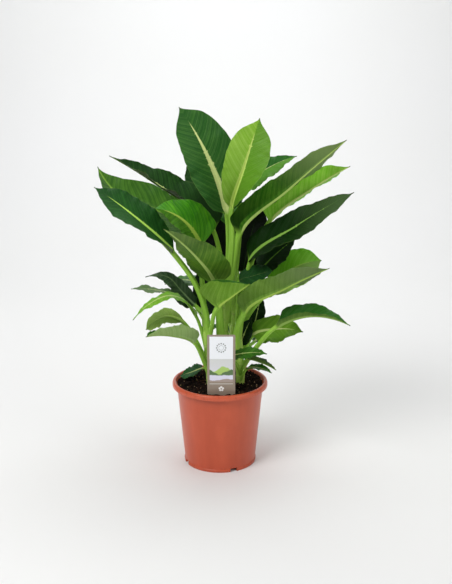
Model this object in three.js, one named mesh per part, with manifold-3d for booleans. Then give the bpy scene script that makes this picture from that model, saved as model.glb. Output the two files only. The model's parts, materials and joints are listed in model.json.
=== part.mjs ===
// A dieffenbachia in a round plastic nursery pot, with a plain plant label.
// Millimetres, +Z up. The origin is the middle of the pot's underside, and the
// side that carries the label looks along -Y.
//
// Every leaf is one closed solid: a round stalk that flattens into a thin blade
// with a thick midrib underneath. A leaf is given by a few points along its
// midrib, the way its face looks, the half widths of its two sides and how far
// each side is folded up, so the same few numbers hold for any level of detail.

import * as THREE from 'three';
import { mergeVertices } from 'three/addons/utils/BufferGeometryUtils.js';
import Module from 'manifold-3d';

const wasm = await Module();
wasm.setup();

// ---- Driving dimensions ----------------------------------------------------

const GAP = 0.3; // air between two pieces that touch on the real plant
const FACET_ROOM = 0.9; // what the pot's flat facets take off its round inside
const SAFE_GAP = 0.35; // the same along faceted stalks

const POT_HEIGHT = 170;
const RIM_RADIUS = 95;
const LIP_DEPTH = 10.5;
const LIP_WALL = 1.8;
const WALL_TOP_RADIUS = 86;
const WALL_FOOT_RADIUS = 71;
const WALL = 2.2;
const FOOT_BAND_RADIUS = 72.2;
const FOOT_BAND_HEIGHT = 4.8;
const FLOOR_UNDERSIDE = 8;
const FLOOR_THICKNESS = 2.4;
const POT_SIDES = 32;

const NOTCH_COUNT = 4; // drain notches through the foot ring
const NOTCH_WIDTH = 14;
const NOTCH_HEIGHT = 7;
const NOTCH_REACH = 12; // how far a notch's cutter runs through the wall
const NOTCH_FIRST_ANGLE = -67.5; // degrees, from +X

const SOIL_LEVEL = 165.5;
const SOIL_LUMP = 1.4; // height of the unevenness of the soil
const SOIL_MOUND = 3; // how much higher the soil is heaped round the stems
const SOIL_MOUND_Y = 20;
const SOIL_MOUND_SPREAD = 50;
const SOIL_RINGS = 4;
const SOIL_SIDES = 22;

const TAG_WIDTH = 53.8;
const TAG_TOP = 287;
const TAG_SHOULDER = 168; // below this the label narrows to its stake
const TAG_TIP = 96;
const TAG_STAKE_WIDTH = 20;
const TAG_THICKNESS = 0.8;
const TAG_CORNER = 2.5;
const TAG_X = 2.9;
const TAG_Y = -74;

const BLADE_THICKNESS = 0.8;
const STALK_SWELL = 1.4; // a stalk's foot is this much thicker than its neck
const TAIL = 0.94; // the blade ends here, and the rib runs on as a spike
const DETAIL_LENGTH = 134; // a longer blade gets more cross sections

// ---- Stems -----------------------------------------------------------------
// points: the stem's axis. radius: at the foot and at the top. Each joint where
// a leaf once stood swells the stem a little.

const STEMS = {
  left: { points: [[-14, -22, 132], [-21, -24, 219], [-27, -27, 286]], radius: [10, 7] },
  centre: { points: [[4, -2, 130], [6, -4, 254], [9, -3, 350]], radius: [12, 8] },
  right: { points: [[38, -12, 132], [40, -8, 203], [36, -4, 262]], radius: [9.5, 7] },
  back: { points: [[16, 38, 130], [26, 36, 230], [32, 34, 318]], radius: [11, 7.5] },
};
const STEM_SIDES = 10;
const STEM_JOINT_SPACING = 24;
const STEM_JOINT_SWELL = 0.7;
const STEM_DOME = 0.1; // the last share of a stem, which rounds off

// ---- Leaves ----------------------------------------------------------------
// from    the stem that carries the leaf, or none when it stands in the soil
// stalk   points from the foot up to the neck, the last before the blade
// blade   points along the midrib, from the neck to the tip
// face    the way the upper side looks, a little below the middle of the blade
// width   half widths of the two sides: left and right of the midrib when the
//         leaf is seen from above with its tip pointing away
// left, right   how far each side is folded up, in degrees, at its base and tip
// wave    how high the edge ripples. waves: how many ripples
// rib     radius of the midrib at the neck, and of the stalk there
// twist   turns the blade round its midrib from base to tip, in degrees
// curl    adds to the fold from midrib to edge, in degrees, left and right
// base, point   how round the blade is at its base and how drawn out at its tip

const LEAVES = {
  upright_left: {
    from: 'centre', tone: 'dark',
    stalk: [[12, 0, 359], [18, 8, 443]],
    blade: [[14, 6, 504], [-20, 6, 608], [-76, 8, 706]],
    face: [0.28, -1, 0.1], width: [51, 55], left: [22, 16], right: [12, 4],
    wave: 2, waves: 2, rib: 5.5, base: 0.42, point: 0.43, curl: [0, -6],
  },
  upright_right: {
    from: 'centre', tone: 'young',
    stalk: [[10, -6, 336], [23, -16, 458]],
    blade: [[23, -20, 519], [45, -28, 597], [74, -30, 689]],
    face: [-0.05, -1, 0.25], width: [42, 47], left: [45, 5], right: [72, 0],
    wave: 1.5, rib: 5, base: 0.6, point: 0.5,
  },
  behind_right: {
    from: 'back', tone: 'middle',
    stalk: [[20, 34, 304], [39, 42, 466]],
    blade: [[45, 46, 551], [94, 52, 586], [150, 62, 608]],
    face: [-0.4, -0.55, 0.65], width: [32, 36], left: [20, 15], right: [10, 8],
    wave: 2, rib: 4.5, base: 0.15,
  },
  right_high: {
    from: 'centre', tone: 'middle',
    stalk: [[10, -2, 290], [27, -8, 413]],
    blade: [[37, -12, 471], [125, -34, 558], [231, -55, 652]],
    face: [-0.35, 0.6, 0.75], width: [46, 40], left: [25, 18], right: [30, 10],
    wave: 3, waves: 2.5, rib: 7, twist: -12, base: 0.22, point: 0.42,
  },
  left_high_dark: {
    from: 'centre', tone: 'dark',
    stalk: [[8, 0, 323], [2, 22, 414]],
    blade: [[-13, 36, 467], [-122, 72, 550], [-221, 108, 603]],
    face: [0.25, -0.35, 1], width: [50, 49], left: [36, 36], right: [30, 14],
    wave: 4, waves: 3.5, rib: 4.5, base: 0.34, point: 0.8,
  },
  left_high_green: {
    from: 'centre', tone: 'middle',
    stalk: [[6, -3, 294], [-19, 4, 411]],
    blade: [[-44, 8, 468], [-134, 26, 516], [-205, 42, 545], [-237, 50, 589]],
    face: [0.2, 0.8, 0.6], width: [41, 72], left: [12, 60], right: [10, 10],
    wave: 4, waves: 2.5, rib: 4.5, point: 0.6,
  },
  left_underside: {
    from: 'centre', tone: 'middle',
    stalk: [[2, -6, 244], [-2, -24, 327]],
    blade: [[-7, -40, 376], [-43, -88, 444], [-99, -128, 502]],
    face: [0.3, 0.8, 0.6], width: [42, 47], left: [25, 25], right: [15, 15],
    wave: 3, rib: 6.5, base: 0.38, point: 0.9,
  },
  behind_left: {
    from: 'back', tone: 'dark',
    stalk: [[32, 34, 300], [-2, 68, 424]],
    blade: [[-24, 88, 479], [-43, 116, 536], [-67, 134, 594]],
    face: [0.2, -0.8, 0.5], width: [30, 34], left: [15, 15], right: [15, 15],
    wave: 2, rib: 3.5,
  },
  left_big_dark: {
    from: 'left', tone: 'dark',
    stalk: [[-25, -24, 229], [-42, -42, 370]],
    blade: [[-87, -52, 441], [-162, -70, 518], [-228, -75, 569]],
    face: [0.5, -0.35, 0.7], width: [59, 50], left: [39, -4], right: [14, 14],
    wave: 2.5, rib: 5.3, point: 0.6, curl: [0, -8], base: 0.5,
  },
  left_bright: {
    from: 'left', tone: 'middle',
    stalk: [[-27, -26, 271], [-34, -20, 383]],
    blade: [[-37, -28, 449], [-66, -56, 503], [-120, -95, 534]],
    face: [0.15, -0.8, 0.5], width: [32, 60], left: [20, 10], right: [8, -55],
    wave: 3, rib: 4.5, base: 0.24, point: 0.8,
  },
  fan: {
    from: 'left', tone: 'middle',
    stalk: [[-21, -26, 236], [-16, -46, 297]],
    blade: [[-5, -64, 339], [25, -66, 363], [57, -67, 385]],
    face: [-0.5, -0.1, 0.85], width: [46, 56], left: [78, 60], right: [78, 60],
    wave: 1, rib: 4.5, base: 0.22, point: 0.9,
  },
  left_mid_dark: {
    from: 'left', tone: 'dark',
    stalk: [[-25, -20, 255], [-33, 0, 310]],
    blade: [[-48, 6, 321], [-77, 8, 352], [-101, 2, 380], [-144, -12, 384]],
    face: [0.1, -0.5, 0.85], width: [28, 20], left: [5, 5], right: [8, 8],
    wave: 2, rib: 3.5, base: 0.4, point: 1.1,
  },
  left_thin: {
    from: 'left', tone: 'middle',
    stalk: [[-23, -18, 238], [-34, 14, 294]],
    blade: [[-59, 22, 326], [-118, 15, 349], [-174, 5, 356]],
    face: [0, -0.1, 1], width: [18, 16], left: [5, 5], right: [5, 5],
    wave: 3, rib: 3, base: 1.2, point: 0.5,
  },
  left_droop: {
    from: 'left', tone: 'middle',
    stalk: [[-23, -22, 214], [-30, -24, 258]],
    blade: [[-46, -30, 312], [-67, -42, 346], [-98, -62, 360], [-130, -84, 351], [-160, -110, 327]],
    face: [0, -0.35, 1], width: [22, 19], left: [10, 5], right: [0, -10],
    wave: 2, rib: 3.5, base: 0.22, point: 0.9,
  },
  left_curl: {
    from: 'left', tone: 'young',
    stalk: [[-22, -22, 193], [-44, -38, 261]],
    blade: [[-68, -50, 303], [-104, -76, 324], [-137, -104, 306]],
    face: [0.1, 1, 0.25], width: [21, 27], left: [5, 5], right: [5, 5],
    wave: 2, rib: 3, point: 0.3, base: 0.9,
  },
  left_low: {
    from: 'left', tone: 'middle',
    stalk: [[-18, -22, 172], [-32, -42, 225]],
    blade: [[-49, -52, 264], [-88, -88, 290], [-135, -130, 301]],
    face: [0, 0, 1], width: [33, 26], left: [50, 45], right: [5, 5],
    wave: 2, rib: 3.5, base: 0.4, point: 0.4,
  },
  right_low_large: {
    from: 'right', tone: 'middle',
    stalk: [[36, -6, 229], [35, -20, 284]],
    blade: [[47, -28, 318], [120, -84, 381], [198, -132, 431]],
    face: [-0.2, 0.72, 0.6], width: [20, 42], left: [28, 10], right: [25, 5],
    wave: 3, rib: 6.5, twist: -15, base: 0.42, point: 0.5,
  },
  right_arch: {
    from: 'right', tone: 'middle',
    stalk: [[42, -6, 192], [71, -25, 246]],
    blade: [[109, -55, 298], [172, -100, 333], [236, -154, 330]],
    face: [0, 0.1, 1], width: [36, 9], left: [50, 24], right: [60, 60],
    wave: 2, rib: 4.5, base: 0.2, point: 0.8,
  },
  right_low_back: {
    from: 'right', tone: 'middle',
    stalk: [[42, -2, 211], [54, 4, 241]],
    blade: [[64, 6, 259], [113, 0, 275], [163, -15, 274]],
    face: [0, -0.55, 0.8], width: [32, 38], left: [8, 8], right: [8, 8],
    wave: 3, rib: 3.5,
  },
  tag_side: {
    from: 'right', tone: 'dark',
    stalk: [[40, -10, 178], [32, -32, 214]],
    blade: [[24, -40, 229], [54, -58, 245], [90, -75, 249]],
    face: [0, -0.4, 0.9], width: [16, 20], left: [8, 8], right: [8, 8],
    wave: 1.5, rib: 2.5,
  },
  right_grey: {
    from: 'right', tone: 'dark',
    stalk: [[42, -10, 172], [47, -26, 211]],
    blade: [[55, -35, 225], [80, -50, 224], [109, -60, 211]],
    face: [0, 0.3, 1], width: [12, 14], left: [30, 30], right: [30, 30],
    wave: 1.5, rib: 2.5,
  },
  by_rim: {
    from: 'right', tone: 'middle',
    stalk: [[40, -10, 163], [46, -24, 190]],
    blade: [[53, -30, 203], [74, -42, 209], [101, -55, 203]],
    face: [0, -0.1, 1], width: [13, 14], left: [15, 15], right: [15, 15],
    wave: 1, rib: 2.5,
  },
  right_inner_dark: {
    from: 'right', tone: 'dark',
    stalk: [[40, -4, 195], [40, 0, 219]],
    blade: [[41, 7, 238], [49, 7, 265], [63, 9, 295]],
    face: [-0.2, -0.8, 0.5], width: [17, 17], left: [8, 8], right: [8, 8],
    wave: 2, rib: 3,
  },
  right_mid: {
    from: 'back', tone: 'middle',
    stalk: [[32, 34, 262], [63, 40, 402]],
    blade: [[98, 44, 484], [175, 19, 551], [245, -10, 598]],
    face: [-0.3, 0.7, 0.6], width: [54, 40], left: [32, 28], right: [35, 25],
    wave: 2.5, rib: 4.5, base: 0.18, point: 0.42,
  },
  right_dark: {
    from: 'right', tone: 'dark',
    stalk: [[36, -4, 254], [49, -8, 357]],
    blade: [[58, -14, 414], [144, -58, 494], [241, -104, 564]],
    face: [-0.25, -0.45, 0.8], width: [41, 44], left: [25, 0], right: [30, -20],
    wave: 3, rib: 5, base: 0.27, point: 0.6,
  },
  right_dark_small: {
    from: 'back', tone: 'dark',
    stalk: [[36, 34, 284], [59, 22, 353]],
    blade: [[79, 20, 388], [116, 22, 427], [149, 26, 453]],
    face: [-0.3, -0.6, 0.8], width: [32, 32], left: [10, 10], right: [10, 10],
    wave: 2, rib: 3.5,
  },
  right_round: {
    from: 'back', tone: 'middle',
    stalk: [[36, 34, 241], [66, 20, 313]],
    blade: [[95, 14, 347], [157, 6, 404], [198, 10, 412]],
    face: [-0.3, -0.75, 0.7], width: [42, 44], left: [10, -10], right: [5, 5],
    wave: 2, rib: 4.5, base: 0.6, point: 0.38,
  },
  right_back_dark: {
    from: 'back', tone: 'dark',
    stalk: [[24, 36, 203], [52, 42, 232]],
    blade: [[64, 43, 254], [75, 44, 296], [82, 46, 338]],
    face: [-0.2, -0.8, 0.5], width: [24, 18], left: [8, 8], right: [8, 8],
    wave: 2, rib: 3.5,
  },
  on_soil: {
    tone: 'dark',
    stalk: [[-4, 0, 142], [-10, -6, 180], [-19, -8, 197]],
    blade: [[-33, -7, 196], [-58, 1, 184], [-81, 10, 173]],
    face: [0, -0.35, 1], width: [18, 21], left: [5, 5], right: [5, 5],
    wave: 1.5, rib: 2, base: 0.6, point: 0.6,
  },
  inner_right: {
    from: 'back', tone: 'dark',
    stalk: [[34, 34, 286], [42, 48, 340]],
    blade: [[46, 50, 376], [59, 62, 440], [82, 78, 512]],
    face: [-0.2, -1, 0.3], width: [42, 42], left: [10, 10], right: [10, 10],
    wave: 2, rib: 3.5, base: 0.4, point: 0.6,
  },
  inner_left: {
    from: 'back', tone: 'dark',
    stalk: [[29, 34, 262], [6, 40, 330]],
    blade: [[-8, 46, 374], [-10, 54, 432], [-4, 60, 490]],
    face: [0.2, -1, 0.3], width: [40, 40], left: [10, 10], right: [10, 10],
    wave: 2, rib: 3.5, point: 0.5,
  },
  middle_right_dark: {
    from: 'right', tone: 'dark',
    stalk: [[34, -10, 262], [33, -22, 341]],
    blade: [[37, -28, 380], [65, -34, 392], [101, -40, 404]],
    face: [0, -0.5, 0.9], width: [26, 24], left: [5, 5], right: [5, 5],
    wave: 1.5, rib: 2.5, base: 0.4, point: 0.45,
  },
  left_inner_low: {
    from: 'left', tone: 'dark',
    stalk: [[-18, -14, 196], [-19, 12, 260]],
    blade: [[-24, 21, 296], [-33, 30, 345], [-39, 36, 394]],
    face: [-0.1, -1, 0.2], width: [22, 28], left: [8, 8], right: [8, 8],
    wave: 2, rib: 3,
  },
  back_high_left: {
    from: 'back', tone: 'dark',
    stalk: [[30, 36, 280], [2, 66, 380]],
    blade: [[-18, 84, 424], [-56, 116, 476], [-102, 146, 492]],
    face: [0.3, 0.1, 1], width: [42, 42], left: [14, 6], right: [14, 6],
    wave: 3, rib: 4.5, point: 0.8,
  },
  back_high_centre: {
    from: 'back', tone: 'middle',
    stalk: [[32, 34, 304], [34, 74, 392]],
    blade: [[34, 90, 436], [24, 120, 486], [4, 151, 508]],
    face: [0, -0.3, 1], width: [44, 44], left: [16, 4], right: [16, 4],
    wave: 3, rib: 4.5, point: 0.75,
  },
  back_high_right: {
    from: 'back', tone: 'dark',
    stalk: [[33, 36, 272], [60, 64, 362]],
    blade: [[78, 82, 400], [112, 114, 440], [154, 148, 446]],
    face: [-0.3, -0.2, 1], width: [40, 40], left: [14, 4], right: [14, 4],
    wave: 3, rib: 4.5, point: 0.8,
  },
  back_middle_left: {
    from: 'back', tone: 'middle',
    stalk: [[28, 36, 244], [2, 66, 306]],
    blade: [[-24, 84, 330], [-64, 108, 346], [-116, 130, 332]],
    face: [0, 0, 1], width: [36, 36], left: [12, 4], right: [12, 4],
    wave: 3, rib: 4,
  },
  back_middle_centre: {
    from: 'back', tone: 'dark',
    stalk: [[29, 38, 222], [30, 78, 298]],
    blade: [[26, 92, 322], [16, 124, 342], [-8, 153, 318]],
    face: [0, 0, 1], width: [38, 38], left: [14, 4], right: [14, 4],
    wave: 3, rib: 4,
  },
  back_middle_right: {
    from: 'back', tone: 'middle',
    stalk: [[31, 37, 234], [62, 68, 296]],
    blade: [[84, 86, 318], [116, 116, 336], [146, 146, 318]],
    face: [0, 0, 1], width: [34, 34], left: [12, 4], right: [12, 4],
    wave: 3, rib: 4,
  },
  back_low_centre: {
    from: 'back', tone: 'middle',
    stalk: [[22, 40, 184], [20, 74, 222]],
    blade: [[16, 90, 236], [4, 122, 246], [-16, 152, 226]],
    face: [0, 0, 1], width: [28, 28], left: [14, 4], right: [14, 4],
    wave: 2.5, rib: 3.5,
  },
  back_low_right: {
    from: 'back', tone: 'dark',
    stalk: [[26, 40, 176], [52, 64, 210]],
    blade: [[70, 80, 222], [98, 106, 228], [124, 130, 210]],
    face: [0, 0, 1], width: [26, 26], left: [12, 4], right: [12, 4],
    wave: 2.5, rib: 3.5,
  },
};

// ---- Small tools -----------------------------------------------------------

const clamp = (value, low, high) => Math.min(Math.max(value, low), high);
const mix = (a, b, k) => a + (b - a) * k;
const radians = THREE.MathUtils.degToRad;

// A smooth curve through points: a cubic piece per step, whose slope at each
// inner point is that of the parabola through it and its two neighbours.
function smoothPath(points) {
  const knots = points.map((p) => new THREE.Vector3(...p));
  const last = knots.length - 1;
  const steps = [];
  const headings = [];
  for (let i = 0; i < last; i++) {
    const step = knots[i + 1].clone().sub(knots[i]);
    steps.push(step.length());
    headings.push(step.normalize());
  }
  const slopes = [];
  for (let i = 1; i < last; i++) {
    const slope = headings[i - 1].clone().multiplyScalar(steps[i]);
    slope.addScaledVector(headings[i], steps[i - 1]);
    slopes[i] = slope.divideScalar(steps[i] + steps[i - 1]);
  }
  slopes[0] = headings[0].clone().multiplyScalar(2).sub(slopes[1]);
  slopes[last] = headings[last - 1].clone().multiplyScalar(2).sub(slopes[last - 1]);
  const starts = [0];
  for (const step of steps) {
    starts.push(starts[starts.length - 1] + step);
  }

  function at(s) {
    let i = 0;
    while (i < last - 1 && s >= starts[i + 1]) {
      i++;
    }
    const h = steps[i];
    const x = (s - starts[i]) / h;
    const point = knots[i].clone().multiplyScalar((2 * x - 3) * x * x + 1);
    point.addScaledVector(slopes[i], h * ((x - 2) * x * x + x));
    point.addScaledVector(knots[i + 1], (3 - 2 * x) * x * x);
    return point.addScaledVector(slopes[i + 1], h * (x - 1) * x * x);
  }

  function heading(s) {
    const reach = 0.5;
    const ahead = at(Math.min(s + reach, starts[last]));
    return ahead.sub(at(Math.max(s - reach, 0))).normalize();
  }
  return { at, heading, starts, length: starts[last] };
}

// The part of a direction that is square to an axis, at unit length.
function squareTo(direction, axis) {
  const result = direction.clone();
  return result.addScaledVector(axis, -direction.dot(axis)).normalize();
}

function geometryOf(points, triangles) {
  const geometry = new THREE.BufferGeometry();
  const numbers = points.flatMap((p) => [p.x, p.y, p.z]);
  geometry.setAttribute('position', new THREE.Float32BufferAttribute(numbers, 3));
  geometry.setIndex(triangles.flat());
  return geometry;
}

function solidOf(geometry) {
  const plain = geometry.clone();
  plain.deleteAttribute('normal');
  plain.deleteAttribute('uv');
  const merged = mergeVertices(plain, 1e-4);
  return new wasm.Manifold(new wasm.Mesh({
    numProp: 3,
    vertProperties: new Float32Array(merged.attributes.position.array),
    triVerts: new Uint32Array(merged.index.array),
  }));
}

// The biggest connected body of a solid, as a geometry. A cut can leave scraps.
function mainBody(solid) {
  const mesh = solid.getMesh();
  const points = mesh.vertProperties;
  const corners = mesh.triVerts;
  const leader = Array.from({ length: points.length / 3 }, (_, i) => i);
  const find = (i) => {
    while (leader[i] !== i) {
      leader[i] = leader[leader[i]];
      i = leader[i];
    }
    return i;
  };
  for (let t = 0; t < corners.length; t += 3) {
    leader[find(corners[t])] = find(corners[t + 1]);
    leader[find(corners[t + 2])] = find(corners[t + 1]);
  }
  const bodies = new Map();
  for (let t = 0; t < corners.length; t += 3) {
    const body = find(corners[t]);
    if (!bodies.has(body)) {
      bodies.set(body, []);
    }
    bodies.get(body).push(corners[t], corners[t + 1], corners[t + 2]);
  }
  const sizes = [...bodies.values()].map((index) => [spread(points, index), index]);
  sizes.sort((a, b) => b[0] - a[0]);
  const geometry = new THREE.BufferGeometry();
  geometry.setAttribute('position', new THREE.Float32BufferAttribute(points, 3));
  geometry.setIndex([...sizes[0][1]]);
  return geometry;
}

// The diagonal of the box round some corners.
function spread(points, index) {
  const box = new THREE.Box3();
  for (const i of index) {
    box.expandByPoint(new THREE.Vector3(points[3 * i], points[3 * i + 1], points[3 * i + 2]));
  }
  return box.getSize(new THREE.Vector3()).length();
}

// Cuts cutters away from a geometry, leaving out those that are nowhere near.
function cut(geometry, cutters) {
  geometry.computeBoundingBox();
  let solid = solidOf(geometry);
  for (const cutter of cutters) {
    cutter.computeBoundingBox();
    if (cutter.boundingBox.intersectsBox(geometry.boundingBox)) {
      solid = solid.subtract(solidOf(cutter));
    }
  }
  return mainBody(solid);
}

// Closes a tube of equal rings. A side's pairs of triangles lean the way that
// leans(j) says, so the two faces of a blade are split alike.
function loft(rings, leans) {
  const count = rings[0].length;
  const triangles = [];
  for (let i = 0; i < rings.length - 1; i++) {
    for (let j = 0; j < count; j++) {
      const a = i * count + j;
      const b = i * count + ((j + 1) % count);
      const c = b + count;
      const d = a + count;
      if (leans(j)) {
        triangles.push([a, b, d], [b, c, d]);
      } else {
        triangles.push([a, b, c], [a, c, d]);
      }
    }
  }
  return triangles;
}

// ---- One leaf --------------------------------------------------------------

// Width of the blade along the midrib, as a share of the widest.
function outline(t, base, point) {
  const along = clamp(t / TAIL, 0, 1);
  const widest = base / (base + point);
  return (along / widest) ** base * ((1 - along) / (1 - widest)) ** point;
}

// Where each cross section stands: evenly up the stalk, then closer together at
// both ends of the blade.
function stations(path, neck, stalkSteps, bladeSteps) {
  const places = [];
  for (let i = 0; i < stalkSteps; i++) {
    places.push((neck * i) / stalkSteps);
  }
  for (let i = 0; i <= bladeSteps; i++) {
    const even = i / bladeSteps;
    const eased = (1 - Math.cos(Math.PI * even)) / 2;
    places.push(mix(neck, path.length, (even + eased) / 2));
  }
  return places;
}

// One frame per station: the heading, the way the leaf faces and the way to its
// right side. The face is carried along the midrib without spinning, then twisted.
function frames(spec, path, places, shares) {
  const headings = places.map((s) => path.heading(s));
  const middle = shares.reduce(
    (best, t, i) => (Math.abs(t - 0.45) < Math.abs(shares[best] - 0.45) ? i : best),
    0,
  );
  const faces = [];
  faces[middle] = squareTo(new THREE.Vector3(...spec.face), headings[middle]);
  for (let i = middle + 1; i < places.length; i++) {
    faces[i] = squareTo(faces[i - 1], headings[i]);
  }
  for (let i = middle - 1; i >= 0; i--) {
    faces[i] = squareTo(faces[i + 1], headings[i]);
  }
  return places.map((s, i) => {
    const turn = radians(spec.twist ?? 0) * clamp(shares[i] - 0.45, -0.45, 0.55);
    const face = faces[i].clone().applyAxisAngle(headings[i], turn);
    const side = new THREE.Vector3().crossVectors(headings[i], face);
    return { centre: path.at(s), face, side };
  });
}

// One cross section, as pairs [across, up] for the upper and the lower face.
// The stalk's is a circle, flattened a little on top, and the blade's is two
// folded sides of even thickness on a round rib.
function section(spec, t, rib, columns, extra) {
  const blade = clamp(t, 0, 1);
  const half = BLADE_THICKNESS / 2 + extra;
  const shape = outline(blade, spec.base ?? 0.5, spec.point ?? 0.7);
  const ease = clamp((t + 0.02) / 0.1, 0, 1);
  const flat = ease * ease * (3 - 2 * ease);
  const upper = [];
  const lower = [];
  for (let k = -columns; k <= columns; k++) {
    const right = k > 0;
    const sign = Math.sign(k);
    const wide = Math.max((right ? spec.width[1] : spec.width[0]) * shape, 1.3 * rib);
    const ribShare = clamp(rib / wide, 0, 0.9);
    const step = Math.abs(k);
    const beyond = mix(ribShare, 1, (step - 1) / (columns - 1));
    const share = step === 0 ? 0 : beyond;
    const [foldBase, foldTip] = right ? spec.right : spec.left;
    const fold = radians(mix(foldBase, foldTip, blade));
    const curl = radians(spec.curl?.[right ? 1 : 0] ?? 0) || 0.001;
    const angle = fold + curl * share;
    const across = (wide * (Math.sin(angle) - Math.sin(fold))) / curl;
    const up = (wide * (Math.cos(fold) - Math.cos(angle))) / curl;
    const phase = (spec.waves ?? 2.5) * blade + (right ? 0.31 : 0);
    const calm = clamp(4 * blade * (1 - blade), 0, 1);
    const ripple = spec.wave * share * share * Math.sin(2 * Math.PI * phase) * calm;
    const bulge = Math.sqrt(clamp(1 - ((share * wide) / rib) ** 2, 0, 1));
    const outX = step === 0 ? 0 : -sign * Math.sin(angle);
    const outY = step === 0 ? 1 : Math.cos(angle);
    const x = sign * across + ripple * outX;
    const y = up + ripple * outY;
    const round = mix(Math.PI - 0.15, 0.15, (k + columns) / (2 * columns));
    const circleX = rib * Math.cos(round);
    const circleY = rib * Math.sin(round);
    upper.push([
      mix(circleX, x + outX * half, flat),
      mix(circleY * 0.75, y + outY * half + 0.12 * rib * bulge, flat),
    ]);
    lower.push([
      mix(circleX, x - outX * half, flat),
      mix(-circleY, y - outY * half - rib * bulge, flat),
    ]);
  }
  return { upper, lower };
}

// The whole leaf. extra thickens it all round, for cutting its neighbours clear,
// and stalkOnly stops it at the neck.
function leafGeometry(spec, { extra = 0, stalkOnly = false } = {}) {
  const path = smoothPath([...spec.stalk, ...spec.blade]);
  const neck = path.starts[spec.stalk.length];
  const bladeLength = path.length - neck;
  const big = bladeLength > DETAIL_LENGTH;
  const columns = big ? 3 : 2;
  let places = stations(path, neck, big ? 4 : 3, big ? 8 : 6);
  let shares = places.map((s) => (s - neck) / bladeLength);
  const all = frames(spec, path, places, shares);
  if (stalkOnly) {
    places = places.filter((s) => s <= neck + 1e-6);
    shares = shares.slice(0, places.length);
  }
  const points = [];
  const rings = places.map((s, i) => {
    const t = shares[i];
    const down = clamp((neck - s) / neck, 0, 1) ** 1.3;
    const stalk = spec.rib * mix(1, STALK_SWELL, down);
    const rib = (t < 0 ? stalk : spec.rib * (1 - clamp(t, 0, 1)) ** 0.8 + 0.5) + extra;
    const { upper, lower } = section(spec, t, rib, columns, extra);
    const around = [...upper, ...lower.reverse()];
    const ring = around.map(([x, y]) => {
      const point = all[i].centre.clone().addScaledVector(all[i].side, x);
      return point.addScaledVector(all[i].face, y);
    });
    points.push(...ring);
    return ring;
  });
  const row = 2 * columns + 1;
  const triangles = loft(rings, (j) => j >= row && j < 2 * row - 1);
  const around = 2 * row;
  const end = (rings.length - 1) * around;
  for (let j = 0; j < row - 1; j++) {
    const below = around - 1 - j;
    triangles.push([j, below - 1, j + 1], [j, below, below - 1]);
    triangles.push([end + j, end + j + 1, end + below - 1], [end + j, end + below - 1, end + below]);
  }
  return geometryOf(points, triangles);
}

// ---- One stem --------------------------------------------------------------

function stemGeometry(stem, extra = 0) {
  const path = smoothPath(stem.points);
  const steps = Math.round(path.length / (STEM_JOINT_SPACING / 2));
  const rings = [];
  const points = [];
  for (let i = 0; i <= steps; i++) {
    const share = i / steps;
    const s = path.length * share;
    const heading = path.heading(s);
    const side = squareTo(new THREE.Vector3(1, 0, 0), heading);
    const other = new THREE.Vector3().crossVectors(heading, side);
    const joint = Math.cos((2 * Math.PI * s) / STEM_JOINT_SPACING);
    const swell = STEM_JOINT_SWELL * Math.max(joint, 0) ** 2;
    const dome = Math.sqrt(1 - clamp((share - 1 + STEM_DOME) / STEM_DOME, 0, 0.94) ** 2);
    const radius = (mix(stem.radius[0], stem.radius[1], share) + swell) * dome + extra;
    const ring = [];
    for (let j = 0; j < STEM_SIDES; j++) {
      const angle = (2 * Math.PI * j) / STEM_SIDES;
      const point = path.at(s).addScaledVector(side, radius * Math.cos(angle));
      ring.push(point.addScaledVector(other, radius * Math.sin(angle)));
    }
    points.push(...ring);
    rings.push(ring);
  }
  const triangles = loft(rings, () => false);
  const top = (rings.length - 1) * STEM_SIDES;
  for (let j = 1; j < STEM_SIDES - 1; j++) {
    triangles.push([0, j + 1, j], [top, top + j, top + j + 1]);
  }
  return geometryOf(points, triangles);
}

// ---- Pot, soil and label ---------------------------------------------------

function potGeometry() {
  const lipFoot = POT_HEIGHT - LIP_DEPTH;
  const inner = WALL_TOP_RADIUS - WALL;
  const floorTop = FLOOR_UNDERSIDE + FLOOR_THICKNESS;
  const lowerInner = WALL_FOOT_RADIUS - WALL;
  const profile = [
    [0, FLOOR_UNDERSIDE],
    [lowerInner - 1, FLOOR_UNDERSIDE],
    [lowerInner - 0.4, 0],
    [FOOT_BAND_RADIUS, 0],
    [FOOT_BAND_RADIUS + 0.4, FOOT_BAND_HEIGHT],
    [WALL_FOOT_RADIUS, FOOT_BAND_HEIGHT + 0.8],
    [WALL_TOP_RADIUS, lipFoot - 2],
    [WALL_TOP_RADIUS + 2.6, POT_HEIGHT - 3.8],
    [RIM_RADIUS - 4.4, POT_HEIGHT - 2.2],
    [RIM_RADIUS - LIP_WALL, POT_HEIGHT - 4.6],
    [RIM_RADIUS - LIP_WALL, lipFoot],
    [RIM_RADIUS, lipFoot],
    [RIM_RADIUS, POT_HEIGHT - 4.5],
    [RIM_RADIUS - 1.3, POT_HEIGHT - 1.4],
    [RIM_RADIUS - 4, POT_HEIGHT],
    [RIM_RADIUS - 6.6, POT_HEIGHT - 0.8],
    [inner + 3, POT_HEIGHT - 4],
    [inner + 0.4, lipFoot + 3],
    [inner, lipFoot - 4],
    [lowerInner, floorTop],
    [0, floorTop],
  ];
  const points = profile.map(([r, z]) => new THREE.Vector2(r, z));
  const cup = new THREE.LatheGeometry(points, POT_SIDES);
  cup.rotateX(Math.PI / 2);
  const notches = [];
  for (let i = 0; i < NOTCH_COUNT; i++) {
    const notch = new THREE.BoxGeometry(NOTCH_REACH, NOTCH_WIDTH, 2 * NOTCH_HEIGHT);
    notch.translate(FOOT_BAND_RADIUS - 1, 0, 0);
    notch.rotateZ(radians(NOTCH_FIRST_ANGLE + (360 / NOTCH_COUNT) * i));
    notches.push(notch);
  }
  return cut(cup, notches);
}

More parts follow.
